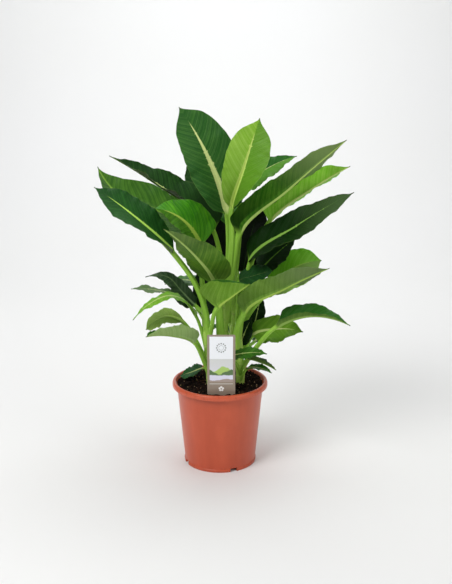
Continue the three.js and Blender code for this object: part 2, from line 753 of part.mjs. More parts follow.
// Height of the soil: crumbled lumps, and a low mound round the stems.
function soilHeight(x, y) {
  const lumps = Math.sin(0.11 * x + 1.3) * Math.cos(0.13 * y + 0.4)
    + 0.6 * Math.sin(0.23 * x - 0.19 * y + 2.1)
    + 0.4 * Math.cos(0.31 * y + 0.27 * x);
  const away = Math.hypot(x, y - SOIL_MOUND_Y) / SOIL_MOUND_SPREAD;
  const mound = SOIL_MOUND * Math.exp(-away * away);
  return SOIL_LEVEL + SOIL_LUMP * 0.5 * lumps + mound;
}

function soilGeometry(cutters) {
  const slope = (WALL_TOP_RADIUS - WALL_FOOT_RADIUS) / (POT_HEIGHT - LIP_DEPTH - 2 - FOOT_BAND_HEIGHT);
  const floor = FLOOR_UNDERSIDE + FLOOR_THICKNESS + GAP;
  const innerAt = (z) => WALL_FOOT_RADIUS - WALL + slope * (z - FOOT_BAND_HEIGHT) - GAP - FACET_ROOM;
  const points = [new THREE.Vector3(0, 0, soilHeight(0, 0))];
  const triangles = [];
  for (let ring = 1; ring <= SOIL_RINGS; ring++) {
    for (let j = 0; j < SOIL_SIDES; j++) {
      const angle = (2 * Math.PI * j) / SOIL_SIDES;
      const radius = (innerAt(SOIL_LEVEL - 3) * ring) / SOIL_RINGS;
      const x = radius * Math.cos(angle);
      const y = radius * Math.sin(angle);
      points.push(new THREE.Vector3(x, y, soilHeight(x, y)));
    }
  }
  for (const z of [floor + 4, floor]) {
    for (let j = 0; j < SOIL_SIDES; j++) {
      const angle = (2 * Math.PI * j) / SOIL_SIDES;
      const radius = innerAt(floor + 4) - (z === floor ? 4 : 0);
      points.push(new THREE.Vector3(radius * Math.cos(angle), radius * Math.sin(angle), z));
    }
  }
  const rows = SOIL_RINGS + 2;
  for (let j = 0; j < SOIL_SIDES; j++) {
    const next = (j + 1) % SOIL_SIDES;
    triangles.push([0, 1 + j, 1 + next]);
    for (let ring = 0; ring < rows - 1; ring++) {
      const a = 1 + ring * SOIL_SIDES + j;
      const b = 1 + ring * SOIL_SIDES + next;
      triangles.push([a, a + SOIL_SIDES, b + SOIL_SIDES], [a, b + SOIL_SIDES, b]);
    }
  }
  const last = 1 + (rows - 1) * SOIL_SIDES;
  for (let j = 1; j < SOIL_SIDES - 1; j++) {
    triangles.push([last, last + j + 1, last + j]);
  }
  return cut(geometryOf(points, triangles), cutters);
}

// The label: a flat card with rounded top corners that narrows to a stake.
function tagGeometry(extra = 0) {
  const half = TAG_WIDTH / 2 + extra;
  const stake = TAG_STAKE_WIDTH / 2 + extra;
  const corner = TAG_CORNER;
  const shape = new THREE.Shape();
  shape.moveTo(-half, TAG_SHOULDER);
  shape.lineTo(-stake, TAG_SHOULDER - 16);
  shape.lineTo(-stake, TAG_TIP + 18);
  shape.lineTo(0, TAG_TIP - extra);
  shape.lineTo(stake, TAG_TIP + 18);
  shape.lineTo(stake, TAG_SHOULDER - 16);
  shape.lineTo(half, TAG_SHOULDER);
  shape.lineTo(half, TAG_TOP - corner);
  shape.quadraticCurveTo(half, TAG_TOP, half - corner, TAG_TOP);
  shape.lineTo(corner - half, TAG_TOP);
  shape.quadraticCurveTo(-half, TAG_TOP, -half, TAG_TOP - corner);
  shape.closePath();
  const depth = TAG_THICKNESS + 2 * extra;
  const card = new THREE.ExtrudeGeometry(shape, { depth, bevelEnabled: false, curveSegments: 3 });
  card.rotateX(Math.PI / 2);
  card.translate(TAG_X, TAG_Y + depth / 2, 0);
  return card;
}

// ---- The object ------------------------------------------------------------

const COLOURS = {
  pot: [0.72, 0.29, 0.2],
  soil: [0.07, 0.045, 0.03],
  tag: [0.9, 0.9, 0.88],
  stem: [0.47, 0.63, 0.22],
  dark: [0.1, 0.26, 0.08],
  middle: [0.2, 0.42, 0.1],
  young: [0.45, 0.66, 0.22],
};

const group = new THREE.Group();
group.name = 'potted_dieffenbachia';

function add(name, geometry, colour, roughness) {
  const material = new THREE.MeshStandardMaterial({ roughness, metalness: 0 });
  material.color.setRGB(...colour, THREE.SRGBColorSpace);
  const mesh = new THREE.Mesh(geometry, material);
  mesh.name = name;
  group.add(mesh);
}

const stemCutters = [];
for (const [name, stem] of Object.entries(STEMS)) {
  add(`stem_${name}`, stemGeometry(stem), COLOURS.stem, 0.5);
  stemCutters.push(stemGeometry(stem, SAFE_GAP));
}

// Each leaf's foot clasps its stem: it is cut back to the stem's surface, and to
// the stalks of the leaves that stand below it.
const stalkCutters = [];
const soilStalks = [];
for (const [name, spec] of Object.entries(LEAVES)) {
  const tone = COLOURS[spec.tone];
  add(`leaf_${name}`, cut(leafGeometry(spec), [...stemCutters, ...stalkCutters]), tone, 0.45);
  stalkCutters.push(leafGeometry(spec, { extra: SAFE_GAP, stalkOnly: true }));
  if (!spec.from) {
    soilStalks.push(leafGeometry(spec, { extra: GAP, stalkOnly: true }));
  }
}

add('pot', potGeometry(), COLOURS.pot, 0.55);
add('soil', soilGeometry([...stemCutters, ...soilStalks, tagGeometry(GAP)]), COLOURS.soil, 0.95);
add('tag', tagGeometry(), COLOURS.tag, 0.4);

export default group;
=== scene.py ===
# %% [markdown]
# # A potted dieffenbachia
#
# This lesson dresses a leafy houseplant in a plastic nursery pot. The solid
# model of the plant is loaded first and fixes every size and place. Each solid
# is then replaced by a finer surface that keeps its form: the leaves get their
# pleats, ribs and thin rims, the soil gets its crumbs, and every surface gets a
# material that is worked out point by point.
#
# Lengths in the tables are millimetres, because that is how the plant was
# measured. They turn into Blender's metres where a mesh is made.

import json
from types import SimpleNamespace

import bmesh
import bpy
import numpy as np
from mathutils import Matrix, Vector

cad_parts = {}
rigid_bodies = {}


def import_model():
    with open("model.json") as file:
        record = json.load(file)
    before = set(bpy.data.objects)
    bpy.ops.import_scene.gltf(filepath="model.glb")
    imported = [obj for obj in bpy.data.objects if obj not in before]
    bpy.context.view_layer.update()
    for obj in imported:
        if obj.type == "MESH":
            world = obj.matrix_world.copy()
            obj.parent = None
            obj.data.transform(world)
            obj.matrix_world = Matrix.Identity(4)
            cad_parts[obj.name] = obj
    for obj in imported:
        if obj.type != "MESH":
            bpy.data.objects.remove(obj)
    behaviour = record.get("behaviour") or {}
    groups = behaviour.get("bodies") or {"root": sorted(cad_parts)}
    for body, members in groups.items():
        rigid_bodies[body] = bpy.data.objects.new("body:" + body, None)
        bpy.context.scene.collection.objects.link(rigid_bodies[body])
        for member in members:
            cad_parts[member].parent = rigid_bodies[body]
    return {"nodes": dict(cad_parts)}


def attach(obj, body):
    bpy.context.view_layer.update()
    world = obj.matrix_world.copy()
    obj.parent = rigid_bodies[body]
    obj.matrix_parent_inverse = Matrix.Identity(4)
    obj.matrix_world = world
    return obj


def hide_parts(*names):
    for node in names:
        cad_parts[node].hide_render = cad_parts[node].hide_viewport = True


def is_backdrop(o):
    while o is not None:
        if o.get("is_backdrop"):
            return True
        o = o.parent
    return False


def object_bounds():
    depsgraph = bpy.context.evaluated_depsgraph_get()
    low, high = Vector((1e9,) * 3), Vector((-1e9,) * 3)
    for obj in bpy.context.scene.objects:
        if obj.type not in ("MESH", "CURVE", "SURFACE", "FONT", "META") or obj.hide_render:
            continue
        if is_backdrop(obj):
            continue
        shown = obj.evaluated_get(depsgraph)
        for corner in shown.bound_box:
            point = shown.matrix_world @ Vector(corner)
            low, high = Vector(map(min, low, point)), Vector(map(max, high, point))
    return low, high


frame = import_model()
cad_box = [list(corner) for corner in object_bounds()]
print("solids loaded:", len(frame["nodes"]))

# %% [markdown]
# ## The camera
#
# The photograph is tall, so Blender fits the lens to the picture's height. The
# camera stands 1.8 m in front of the pot, a little above the leaves, and looks
# down by 15 degrees, which gives the pot's rim and foot the right ovals.

# %% The camera
scene = bpy.context.scene
camera_data = bpy.data.cameras.new("camera")
camera_data.sensor_width = 36
camera_data.lens = 58.87
camera = bpy.data.objects.new("camera", camera_data)
camera.location = (0.012, -1.8, 0.84)
camera.rotation_euler = (np.radians(90 - 15.2), 0, 0)
scene.collection.objects.link(camera)
scene.camera = camera
print("lens:", camera_data.lens, "mm")

# %% [markdown]
# ## From numbers to a mesh
#
# Almost every piece here is a sleeve: a stack of closed rings, one after the
# other along a path. A leaf is a sleeve that turns from a round stalk into a
# flat blade, and a pot is a sleeve that folds back on itself. One helper turns
# such a stack into a mesh. Each end ring is closed by a strip of quads across it,
# or, on the pot, by one flat face that is added later. Numbers that the material
# needs, such as the distance from a midrib, are stored on the points.

# %% Building a sleeve
def sleeve_faces(rings, count, caps):
    """Quads between neighbouring rings of count points, all facing outwards.

    Quad = this point, the next one round, the one above that, the one above
    this. A strip cap joins point j of a ring to point count - 1 - j.
    """
    i, j = np.meshgrid(np.arange(rings - 1), np.arange(count), indexing="ij")
    here = i * count + j
    beside = i * count + (j + 1) % count
    quads = np.stack([here, beside, beside + count, here + count], axis=-1)
    faces = [quads.reshape(-1, 4)]
    if caps == "strip":
        k = np.arange(count // 2 - 1)
        foot = np.stack([k, count - 1 - k, count - 2 - k, k + 1], axis=-1)
        top = np.stack([k, k + 1, count - 2 - k, count - 1 - k], axis=-1)
        faces += [foot, top + (rings - 1) * count]
    return np.concatenate(faces)


def mesh_object(name, points, faces, notes=None, sharp=50):
    """A mesh from points in millimetres and an array of faces.

    notes holds named numbers, one per point. Edges that bend by more than
    sharp degrees stay crisp, and the rest are shaded smooth.
    """
    points = np.asarray(points, float).reshape(-1, 3)
    mesh = bpy.data.meshes.new(name)
    mesh.from_pydata((points / 1000).tolist(), [], faces.tolist())
    for key, values in (notes or {}).items():
        layer = mesh.attributes.new(key, "FLOAT", "POINT")
        flat = np.broadcast_to(values, points.shape[0]).astype(np.float32)
        layer.data.foreach_set("value", flat)
    mesh.shade_smooth()
    mesh.set_sharp_from_angle(angle=float(np.radians(sharp)))
    made = bpy.data.objects.new(name, mesh)
    scene.collection.objects.link(made)
    return made


def dress(piece, material, slot, *nodes):
    """Puts a material on a piece, lets it ride, and hides the solids it stands for."""
    piece.data.materials.append(material)
    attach(piece, "root")
    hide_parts(*nodes)


# %% [markdown]
# ## Smooth paths
#
# A stalk and its midrib are given together by five to seven points, and a stem
# by three. The curve through them is made of cubic pieces. Its slope at an inner
# point is that of the parabola through the point and its two neighbours, which
# keeps short and long pieces from bulging. A leaf's upper side is carried along
# the midrib without spinning, so the blade twists only where it is told to.

# %% Paths and the way a leaf faces
def smooth_path(points):
    """Knots, slopes at the knots and the distance of each knot from the start."""
    knots = np.asarray(points, float)
    steps = np.linalg.norm(np.diff(knots, axis=0), axis=1)
    headings = np.diff(knots, axis=0) / steps[:, None]
    inner = headings[:-1] * steps[1:, None] + headings[1:] * steps[:-1, None]
    inner /= (steps[1:] + steps[:-1])[:, None]
    first = 2 * headings[0] - inner[0]
    last = 2 * headings[-1] - inner[-1]
    slopes = np.vstack([first, inner, last])
    return knots, slopes, np.concatenate([[0], np.cumsum(steps)])


def along(path, s):
    """Points at distances s: the cubic with the given ends and end slopes."""
    knots, slopes, starts = path
    i = np.clip(np.searchsorted(starts, s, side="right") - 1, 0, len(knots) - 2)
    h = np.diff(starts)[i][:, None]
    x = (s - starts[i])[:, None] / h
    point = knots[i] * ((2 * x - 3) * x * x + 1) + knots[i + 1] * (3 - 2 * x) * x * x
    point += slopes[i] * h * ((x - 2) * x * x + x)
    return point + slopes[i + 1] * h * (x - 1) * x * x


def unit(vectors):
    """The same directions at length one."""
    return vectors / np.linalg.norm(vectors, axis=-1, keepdims=True)


def headings_at(path, s, reach=0.5):
    """The way the path runs at each distance, from a point before to one after."""
    end = path[2][-1]
    ahead = along(path, np.minimum(s + reach, end))
    return unit(ahead - along(path, np.maximum(s - reach, 0)))


def carried(facing, headings, start):
    """The facing at one section, carried to all the others without spinning."""
    faces = np.zeros_like(headings)
    faces[start] = unit(facing - (facing @ headings[start]) * headings[start])
    for order in (range(start + 1, len(headings)), range(start - 1, -1, -1)):
        held = faces[start]
        for i in order:
            held = unit(held - (held @ headings[i]) * headings[i])
            faces[i] = held
    return faces


print("a 50 mm bend is", round(smooth_path([[0, 0, 0], [30, 0, 5], [45, 0, 25]])[2][-1], 1), "mm")

# %% [markdown]
# ## The leaves, measured
#
# A dieffenbachia leaf is a fleshy stalk that clasps the stem and runs on as a
# thick midrib under a thin oval blade. Every leaf here is the same formula with
# its own numbers, so the table is the plant. Stalk and blade give points in
# millimetres. The face is the way the upper side looks, and the two widths are
# those left and right of the midrib, seen from above with the tip pointing away.

# %% The numbers that leaves share, and those of one leaf
BLADE_THICKNESS = 0.8
RIM_THICKNESS = 0.45  # the blade thins out over its last few millimetres
STALK_SWELL = 1.4
FACED_AT = 0.45  # how far along a blade its face is measured
TAIL = 0.94  # where the oval of a blade would end
VEIN_SPACING = 6.5
PLEAT = 0.42
FRILL = 1.1  # height of the small uneven waves along the edges
FRILLS = ((1.9, 0.7), (3.1, 0.8), (5.3, 0.5))  # how close each of them is, and how high
CHANNEL = 0.2  # depth of the channel on a stalk, as a share of its radius
STALK_TOP = 0.85  # a stalk is a little flatter above than below
RIB_TOP = 0.12  # how much of the rib shows above the blade
RIB_TIP = 0.5  # radius that the rib keeps at the tip
VEIN_LEAN = 0.7  # how far a side vein runs forward for each millimetre outwards
VEIN_BEND = 0.007  # and how much more of that it does further out


def leaf(tone, stalk, blade, **own):
    """One leaf: what most leaves share, then its own numbers.

    Angles are in degrees. fold says how far a half rises at the neck and at the tip,
    and four numbers are those of the left half, then the right. curl bends each half
    on towards its edge, and twist turns the blade. rib is the midrib's radius at the
    neck. waves is how many waves an edge has, and wave how high they are. base and
    point bend the outline at its two ends. Past the share drawn_out the blade is
    drawn out to a point.
    """
    usual = dict(fold=[8, 8], wave=2, waves=2.5, rib=3.5, twist=0, base=0.5, point=0.7, curl=[0, 0],
                 drawn_out=0.82)
    return {**usual, "tone": tone, "stalk": stalk, "blade": blade, **own}


# %% The leaf table
LEAVES = {
    "upright_left": leaf(
        "dark", [[12, 0, 359], [18, 8, 443]], [[14, 6, 504], [-20, 6, 608], [-76, 8, 706]],
        face=[0.28, -1, 0.1], width=[51, 55], fold=[22, 16, 12, 4], waves=2, rib=5.5, base=0.42, point=0.43,
        curl=[0, -6], drawn_out=0.87),
    "upright_right": leaf(
        "young", [[10, -6, 336], [23, -16, 458]], [[23, -20, 519], [45, -28, 597], [74, -30, 689]],
        face=[-0.05, -1, 0.25], width=[42, 47], fold=[45, 5, 72, 0], wave=1.5, rib=5, base=0.6, point=0.5),
    "behind_right": leaf(
        "middle", [[20, 34, 304], [39, 42, 466]], [[45, 46, 551], [94, 52, 586], [150, 62, 608]],
        face=[-0.4, -0.55, 0.65], width=[32, 36], fold=[20, 15, 10, 8], rib=4.5, base=0.15, drawn_out=0.89),
    "right_high": leaf(
        "middle", [[10, -2, 290], [27, -8, 413]], [[37, -12, 471], [125, -34, 558], [231, -55, 652]],
        face=[-0.35, 0.6, 0.75], width=[46, 40], fold=[25, 18, 30, 10], wave=3, rib=7, twist=-12, base=0.22,
        point=0.42, drawn_out=0.86),
    "left_high_dark": leaf(
        "dark", [[8, 0, 323], [2, 22, 414]], [[-13, 36, 467], [-122, 72, 550], [-221, 108, 603]],
        face=[0.25, -0.35, 1], width=[50, 49], fold=[36, 36, 30, 14], wave=4, waves=3.5, rib=4.5, base=0.34,
        point=0.8),
    "left_high_green": leaf(
        "middle", [[6, -3, 294], [-19, 4, 411]],
        [[-44, 8, 468], [-134, 26, 516], [-205, 42, 545], [-237, 50, 589]],
        face=[0.2, 0.8, 0.6], width=[41, 72], fold=[12, 60, 10, 10], wave=4, rib=4.5, point=0.6),
    "left_underside": leaf(
        "middle", [[2, -6, 244], [-2, -24, 327]], [[-7, -40, 376], [-43, -88, 444], [-99, -128, 502]],
        face=[0.3, 0.8, 0.6], width=[42, 47], fold=[25, 25, 15, 15], wave=3, rib=6.5, base=0.38, point=0.9),
    "behind_left": leaf(
        "dark", [[32, 34, 300], [-2, 68, 424]], [[-24, 88, 479], [-43, 116, 536], [-67, 134, 594]],
        face=[0.2, -0.8, 0.5], width=[30, 34], fold=[15, 15]),
    "left_big_dark": leaf(
        "dark", [[-25, -24, 229], [-42, -42, 370]], [[-87, -52, 441], [-162, -70, 518], [-228, -75, 569]],
        face=[0.5, -0.35, 0.7], width=[59, 50], fold=[39, -4, 14, 14], wave=2.5, rib=5.3, point=0.6,
        curl=[0, -8], drawn_out=0.9),
    "left_bright": leaf(
        "middle", [[-27, -26, 271], [-34, -20, 383]], [[-37, -28, 449], [-66, -56, 503], [-120, -95, 534]],
        face=[0.15, -0.8, 0.5], width=[32, 60], fold=[20, 10, 8, -55], wave=3, rib=4.5, base=0.24,
        point=0.8),
    "fan": leaf(
        "middle", [[-21, -26, 236], [-16, -46, 297]], [[-5, -64, 339], [25, -66, 363], [57, -67, 385]],
        face=[-0.5, -0.1, 0.85], width=[46, 56], fold=[78, 60], wave=1, rib=4.5, base=0.22, point=0.9),
    "left_mid_dark": leaf(
        "dark", [[-25, -20, 255], [-33, 0, 310]],
        [[-48, 6, 321], [-77, 8, 352], [-101, 2, 380], [-144, -12, 384]],
        face=[0.1, -0.5, 0.85], width=[28, 20], fold=[5, 5, 8, 8], base=0.4, point=1.1),
    "left_thin": leaf(
        "middle", [[-23, -18, 238], [-34, 14, 294]], [[-59, 22, 326], [-118, 15, 349], [-174, 5, 356]],
        face=[0, -0.1, 1], width=[18, 16], fold=[5, 5], wave=3, rib=3, base=1.2, point=0.5),
    "left_droop": leaf(
        "middle", [[-23, -22, 214], [-30, -24, 258]],
        [[-46, -30, 312], [-67, -42, 346], [-98, -62, 360], [-130, -84, 351], [-160, -110, 327]],
        face=[0, -0.35, 1], width=[22, 19], fold=[10, 5, 0, -10], base=0.22, point=0.9),
    "left_curl": leaf(
        "young", [[-22, -22, 193], [-44, -38, 261]], [[-68, -50, 303], [-104, -76, 324], [-137, -104, 306]],
        face=[0.1, 1, 0.25], width=[21, 27], fold=[5, 5], rib=3, base=0.9, point=0.3, drawn_out=0.91),
    "left_low": leaf(
        "middle", [[-18, -22, 172], [-32, -42, 225]], [[-49, -52, 264], [-88, -88, 290], [-135, -130, 301]],
        face=[0, 0, 1], width=[33, 26], fold=[50, 45, 5, 5], base=0.4, point=0.4, drawn_out=0.89),
    "right_low_large": leaf(
        "middle", [[36, -6, 229], [35, -20, 284]], [[47, -28, 318], [120, -84, 381], [198, -132, 431]],
        face=[-0.2, 0.72, 0.6], width=[20, 42], fold=[28, 10, 25, 5], wave=3, rib=6.5, twist=-15, base=0.42,
        point=0.5, drawn_out=0.87),
    "right_arch": leaf(
        "middle", [[42, -6, 192], [71, -25, 246]], [[109, -55, 298], [172, -100, 333], [236, -154, 330]],
        face=[0, 0.1, 1], width=[36, 9], fold=[50, 24, 60, 60], rib=4.5, base=0.2, point=0.8,
        drawn_out=0.9),
    "right_low_back": leaf(
        "middle", [[42, -2, 211], [54, 4, 241]], [[64, 6, 259], [113, 0, 275], [163, -15, 274]],
        face=[0, -0.55, 0.8], width=[32, 38], fold=[8, 8], wave=3),
    "tag_side": leaf(
        "dark", [[40, -10, 178], [32, -32, 214]], [[24, -40, 229], [54, -58, 245], [90, -75, 249]],
        face=[0, -0.4, 0.9], width=[16, 20], fold=[8, 8], wave=1.5, rib=2.5),
    "right_grey": leaf(
        "dark", [[42, -10, 172], [47, -26, 211]], [[55, -35, 225], [80, -50, 224], [109, -60, 211]],
        face=[0, 0.3, 1], width=[12, 14], fold=[30, 30], wave=1.5, rib=2.5),
    "by_rim": leaf(
        "middle", [[40, -10, 163], [46, -24, 190]], [[53, -30, 203], [74, -42, 209], [101, -55, 203]],
        face=[0, -0.1, 1], width=[13, 14], fold=[15, 15], wave=1, rib=2.5),
    "right_inner_dark": leaf(
        "dark", [[40, -4, 195], [40, 0, 219]], [[41, 7, 238], [49, 7, 265], [63, 9, 295]],
        face=[-0.2, -0.8, 0.5], width=[17, 17], fold=[8, 8], rib=3),
    "right_mid": leaf(
        "middle", [[32, 34, 262], [63, 40, 402]], [[98, 44, 484], [175, 19, 551], [245, -10, 598]],
        face=[-0.3, 0.7, 0.6], width=[54, 40], fold=[32, 28, 35, 25], wave=2.5, rib=4.5, base=0.18,
        point=0.42),
    "right_dark": leaf(
        "dark", [[36, -4, 254], [49, -8, 357]], [[58, -14, 414], [144, -58, 494], [241, -104, 564]],
        face=[-0.25, -0.45, 0.8], width=[41, 44], fold=[25, 0, 30, -20], wave=3, rib=5, base=0.27,
        point=0.6, drawn_out=0.86),
    "right_dark_small": leaf(
        "dark", [[36, 34, 284], [59, 22, 353]], [[79, 20, 388], [116, 22, 427], [149, 26, 453]],
        face=[-0.3, -0.6, 0.8], width=[32, 32], fold=[10, 10]),
    "right_round": leaf(
        "middle", [[36, 34, 241], [66, 20, 313]], [[95, 14, 347], [157, 6, 404], [198, 10, 412]],
        face=[-0.3, -0.75, 0.7], width=[42, 44], fold=[10, -10, 5, 5], rib=4.5, base=0.6, point=0.38,
        drawn_out=0.9),
    "right_back_dark": leaf(
        "dark", [[24, 36, 203], [52, 42, 232]], [[64, 43, 254], [75, 44, 296], [82, 46, 338]],
        face=[-0.2, -0.8, 0.5], width=[24, 18], fold=[8, 8]),
    "on_soil": leaf(
        "dark", [[-4, 0, 142], [-10, -6, 180], [-19, -8, 197]],
        [[-33, -7, 196], [-58, 1, 184], [-81, 10, 173]],
        face=[0, -0.35, 1], width=[18, 21], fold=[5, 5], wave=1.5, rib=2, base=0.6, point=0.6),
    "inner_right": leaf(
        "dark", [[34, 34, 286], [42, 48, 340]], [[46, 50, 376], [59, 62, 440], [82, 78, 512]],
        face=[-0.2, -1, 0.3], width=[42, 42], fold=[10, 10], base=0.4, point=0.6),
    "inner_left": leaf(
        "dark", [[29, 34, 262], [6, 40, 330]], [[-8, 46, 374], [-10, 54, 432], [-4, 60, 490]],
        face=[0.2, -1, 0.3], width=[40, 40], fold=[10, 10], point=0.5),
    "middle_right_dark": leaf(
        "dark", [[34, -10, 262], [33, -22, 341]], [[37, -28, 380], [65, -34, 392], [101, -40, 404]],
        face=[0, -0.5, 0.9], width=[26, 24], fold=[5, 5], wave=1.5, rib=2.5, base=0.4, point=0.45),
    "left_inner_low": leaf(
        "dark", [[-18, -14, 196], [-19, 12, 260]], [[-24, 21, 296], [-33, 30, 345], [-39, 36, 394]],
        face=[-0.1, -1, 0.2], width=[22, 28], fold=[8, 8], rib=3),
    "back_high_left": leaf(
        "dark", [[30, 36, 280], [2, 66, 380]], [[-18, 84, 424], [-56, 116, 476], [-102, 146, 492]],
        face=[0.3, 0.1, 1], width=[42, 42], fold=[14, 6], wave=3, rib=4.5, point=0.8),
    "back_high_centre": leaf(
        "middle", [[32, 34, 304], [34, 74, 392]], [[34, 90, 436], [24, 120, 486], [4, 151, 508]],
        face=[0, -0.3, 1], width=[44, 44], fold=[16, 4], wave=3, rib=4.5, point=0.75),
    "back_high_right": leaf(
        "dark", [[33, 36, 272], [60, 64, 362]], [[78, 82, 400], [112, 114, 440], [154, 148, 446]],
        face=[-0.3, -0.2, 1], width=[40, 40], fold=[14, 4], wave=3, rib=4.5, point=0.8),
    "back_middle_left": leaf(
        "middle", [[28, 36, 244], [2, 66, 306]], [[-24, 84, 330], [-64, 108, 346], [-116, 130, 332]],
        face=[0, 0, 1], width=[36, 36], fold=[12, 4], wave=3, rib=4),
    "back_middle_centre": leaf(
        "dark", [[29, 38, 222], [30, 78, 298]], [[26, 92, 322], [16, 124, 342], [-8, 153, 318]],
        face=[0, 0, 1], width=[38, 38], fold=[14, 4], wave=3, rib=4),
    "back_middle_right": leaf(
        "middle", [[31, 37, 234], [62, 68, 296]], [[84, 86, 318], [116, 116, 336], [146, 146, 318]],
        face=[0, 0, 1], width=[34, 34], fold=[12, 4], wave=3, rib=4),
    "back_low_centre": leaf(
        "middle", [[22, 40, 184], [20, 74, 222]], [[16, 90, 236], [4, 122, 246], [-16, 152, 226]],
        face=[0, 0, 1], width=[28, 28], fold=[14, 4], wave=2.5),
    "back_low_right": leaf(
        "dark", [[26, 40, 176], [52, 64, 210]], [[70, 80, 222], [98, 106, 228], [124, 130, 210]],
        face=[0, 0, 1], width=[26, 26], fold=[12, 4], wave=2.5),
}
print("leaves:", len(LEAVES))

# %% [markdown]
# ## One leaf as a surface
#
# The surface has two parameters: how far along the leaf, and how far round its
# cross section. Along the stalk the section is a circle with a shallow channel
# on top. Past the neck it opens into two thin wings. Each wing starts at the
# fold angle, curls a little towards its edge, and ripples there. A real leaf is
# also pleated: between the side veins the skin swells by a fraction of a
# millimetre, which is what breaks up the shine. The pleats follow the veins,
# which leave the midrib steeply and bend towards the tip.

# %% The columns of every section
RIB_COLUMNS = 4
WING_COLUMNS = 11
STEP = 2.6  # distance between two cross sections of a blade
COLUMN = np.arange(-RIB_COLUMNS - WING_COLUMNS, RIB_COLUMNS + WING_COLUMNS + 1)[None]
SIGN = np.sign(COLUMN)


def either(left, right):
    """The first value in the columns left of the midrib, the second right of it."""
    return np.where(COLUMN > 0, right, left)


def smooth(value, low, high):
    """0 below low, 1 above high, and an S-shaped ramp between them."""
    x = np.clip((value - low) / (high - low), 0, 1)
    return x * x * (3 - 2 * x)


def mix(a, b, share):
    """a where share is 0 and b where it is 1."""
    return a + (b - a) * share


# %% The outline of a blade
def blade_width(t, base, point, drawn_out):
    """Width along the midrib, as a share of the widest.

    Share = (b / widest)^base * ((1 - b) / (1 - widest))^point, where b runs
    from 0 at the neck to 1 where the blade ends, and widest = base / (base + point).
    Past drawn_out a cubic with the same slope runs out to the very tip.
    """
    def oval(at):
        b = np.clip(at / TAIL, 0, 1)
        widest = base / (base + point)
        return (b / widest) ** base * ((1 - b) / (1 - widest)) ** point

    room = 1 - drawn_out
    start = oval(drawn_out)
    slope = (base / drawn_out - point / (TAIL - drawn_out)) * start * room
    x = np.clip((t - drawn_out) / room, 0, 1)
    tip = start * (2 * x**3 - 3 * x**2 + 1) + slope * (x**3 - 2 * x**2 + x)
    tip = tip - 0.3 * start * (x**3 - x**2)
    return np.where(t < drawn_out, oval(np.minimum(t, drawn_out)), np.maximum(tip, 0))


sample = LEAVES["back_low_right"]
halfway = blade_width(0.5, sample["base"], sample["point"], sample["drawn_out"])
print("half way along, a leaf at the back has", round(float(halfway), 2), "of its full width")

# %% The line of a leaf
def sections_along(length, neck):
    """Distances of the cross sections, closer together at both ends of the blade."""
    stalk = np.linspace(0, neck, max(10, int(neck / 6)), endpoint=False)
    even = np.linspace(0, 1, max(30, int((length - neck) / STEP)))
    eased = (1 - np.cos(np.pi * even)) / 2
    return np.concatenate([stalk, mix(neck, length, (even + eased) / 2)])


def leaf_line(spec):
    """The neck's distance and the blade's length, then s, t, centre, side and face.

    s = distance of a section from the foot. t = (s - neck) / length of the blade,
    which is negative on the stalk. The face turns by the twist from neck to tip.
    """
    path = smooth_path(spec["stalk"] + spec["blade"])
    neck = path[2][len(spec["stalk"])]
    length = path[2][-1] - neck
    s = sections_along(path[2][-1], neck)
    t = (s - neck) / length
    heading = headings_at(path, s)
    face = carried(np.array(spec["face"], float), heading, np.argmin(abs(t - FACED_AT)))
    turn = np.radians(spec["twist"]) * (np.clip(t, 0, 1) - FACED_AT)[:, None]
    face = face * np.cos(turn) + np.cross(heading, face) * np.sin(turn)
    return neck, length, s, t, along(path, s), np.cross(heading, face), face


print("sections of that leaf:", len(leaf_line(sample)[2]))

# %% The wings of a leaf
def wings(spec, b, rib):
    """Each wing as an arc: share, the rib's share, distance out, across, up and normal.

    Share = distance out / width of the wing. Angle = fold + curl * share. Across =
    width * (sin angle - sin fold) / curl, and up = width * (cos fold - cos angle) / curl.
    The normal leans inwards by the angle.
    """
    wide = either(*spec["width"]) * blade_width(b, spec["base"], spec["point"], spec["drawn_out"])
    wide = np.maximum(wide, 1.3 * rib)
    rib_share = np.clip(rib / wide, 0, 0.9)
    on_rib = np.minimum(abs(COLUMN) / RIB_COLUMNS, 1)
    on_wing = np.sin(np.maximum(abs(COLUMN) - RIB_COLUMNS, 0) / WING_COLUMNS * np.pi / 2)
    share = rib_share * on_rib + (1 - rib_share) * on_wing
    left, right = spec["fold"][:2], spec["fold"][-2:]
    fold = np.radians(mix(either(left[0], right[0]), either(left[1], right[1]), b))
    curl = np.radians(either(*spec["curl"]))
    curl = np.where(curl == 0, 1e-3, curl)
    angle = fold + curl * share
    across = SIGN * wide * (np.sin(angle) - np.sin(fold)) / curl
    up = wide * (np.cos(fold) - np.cos(angle)) / curl
    normal = -SIGN * np.sin(angle), np.where(SIGN == 0, 1, np.cos(angle))
    return share, rib_share, share * wide, across, up, normal


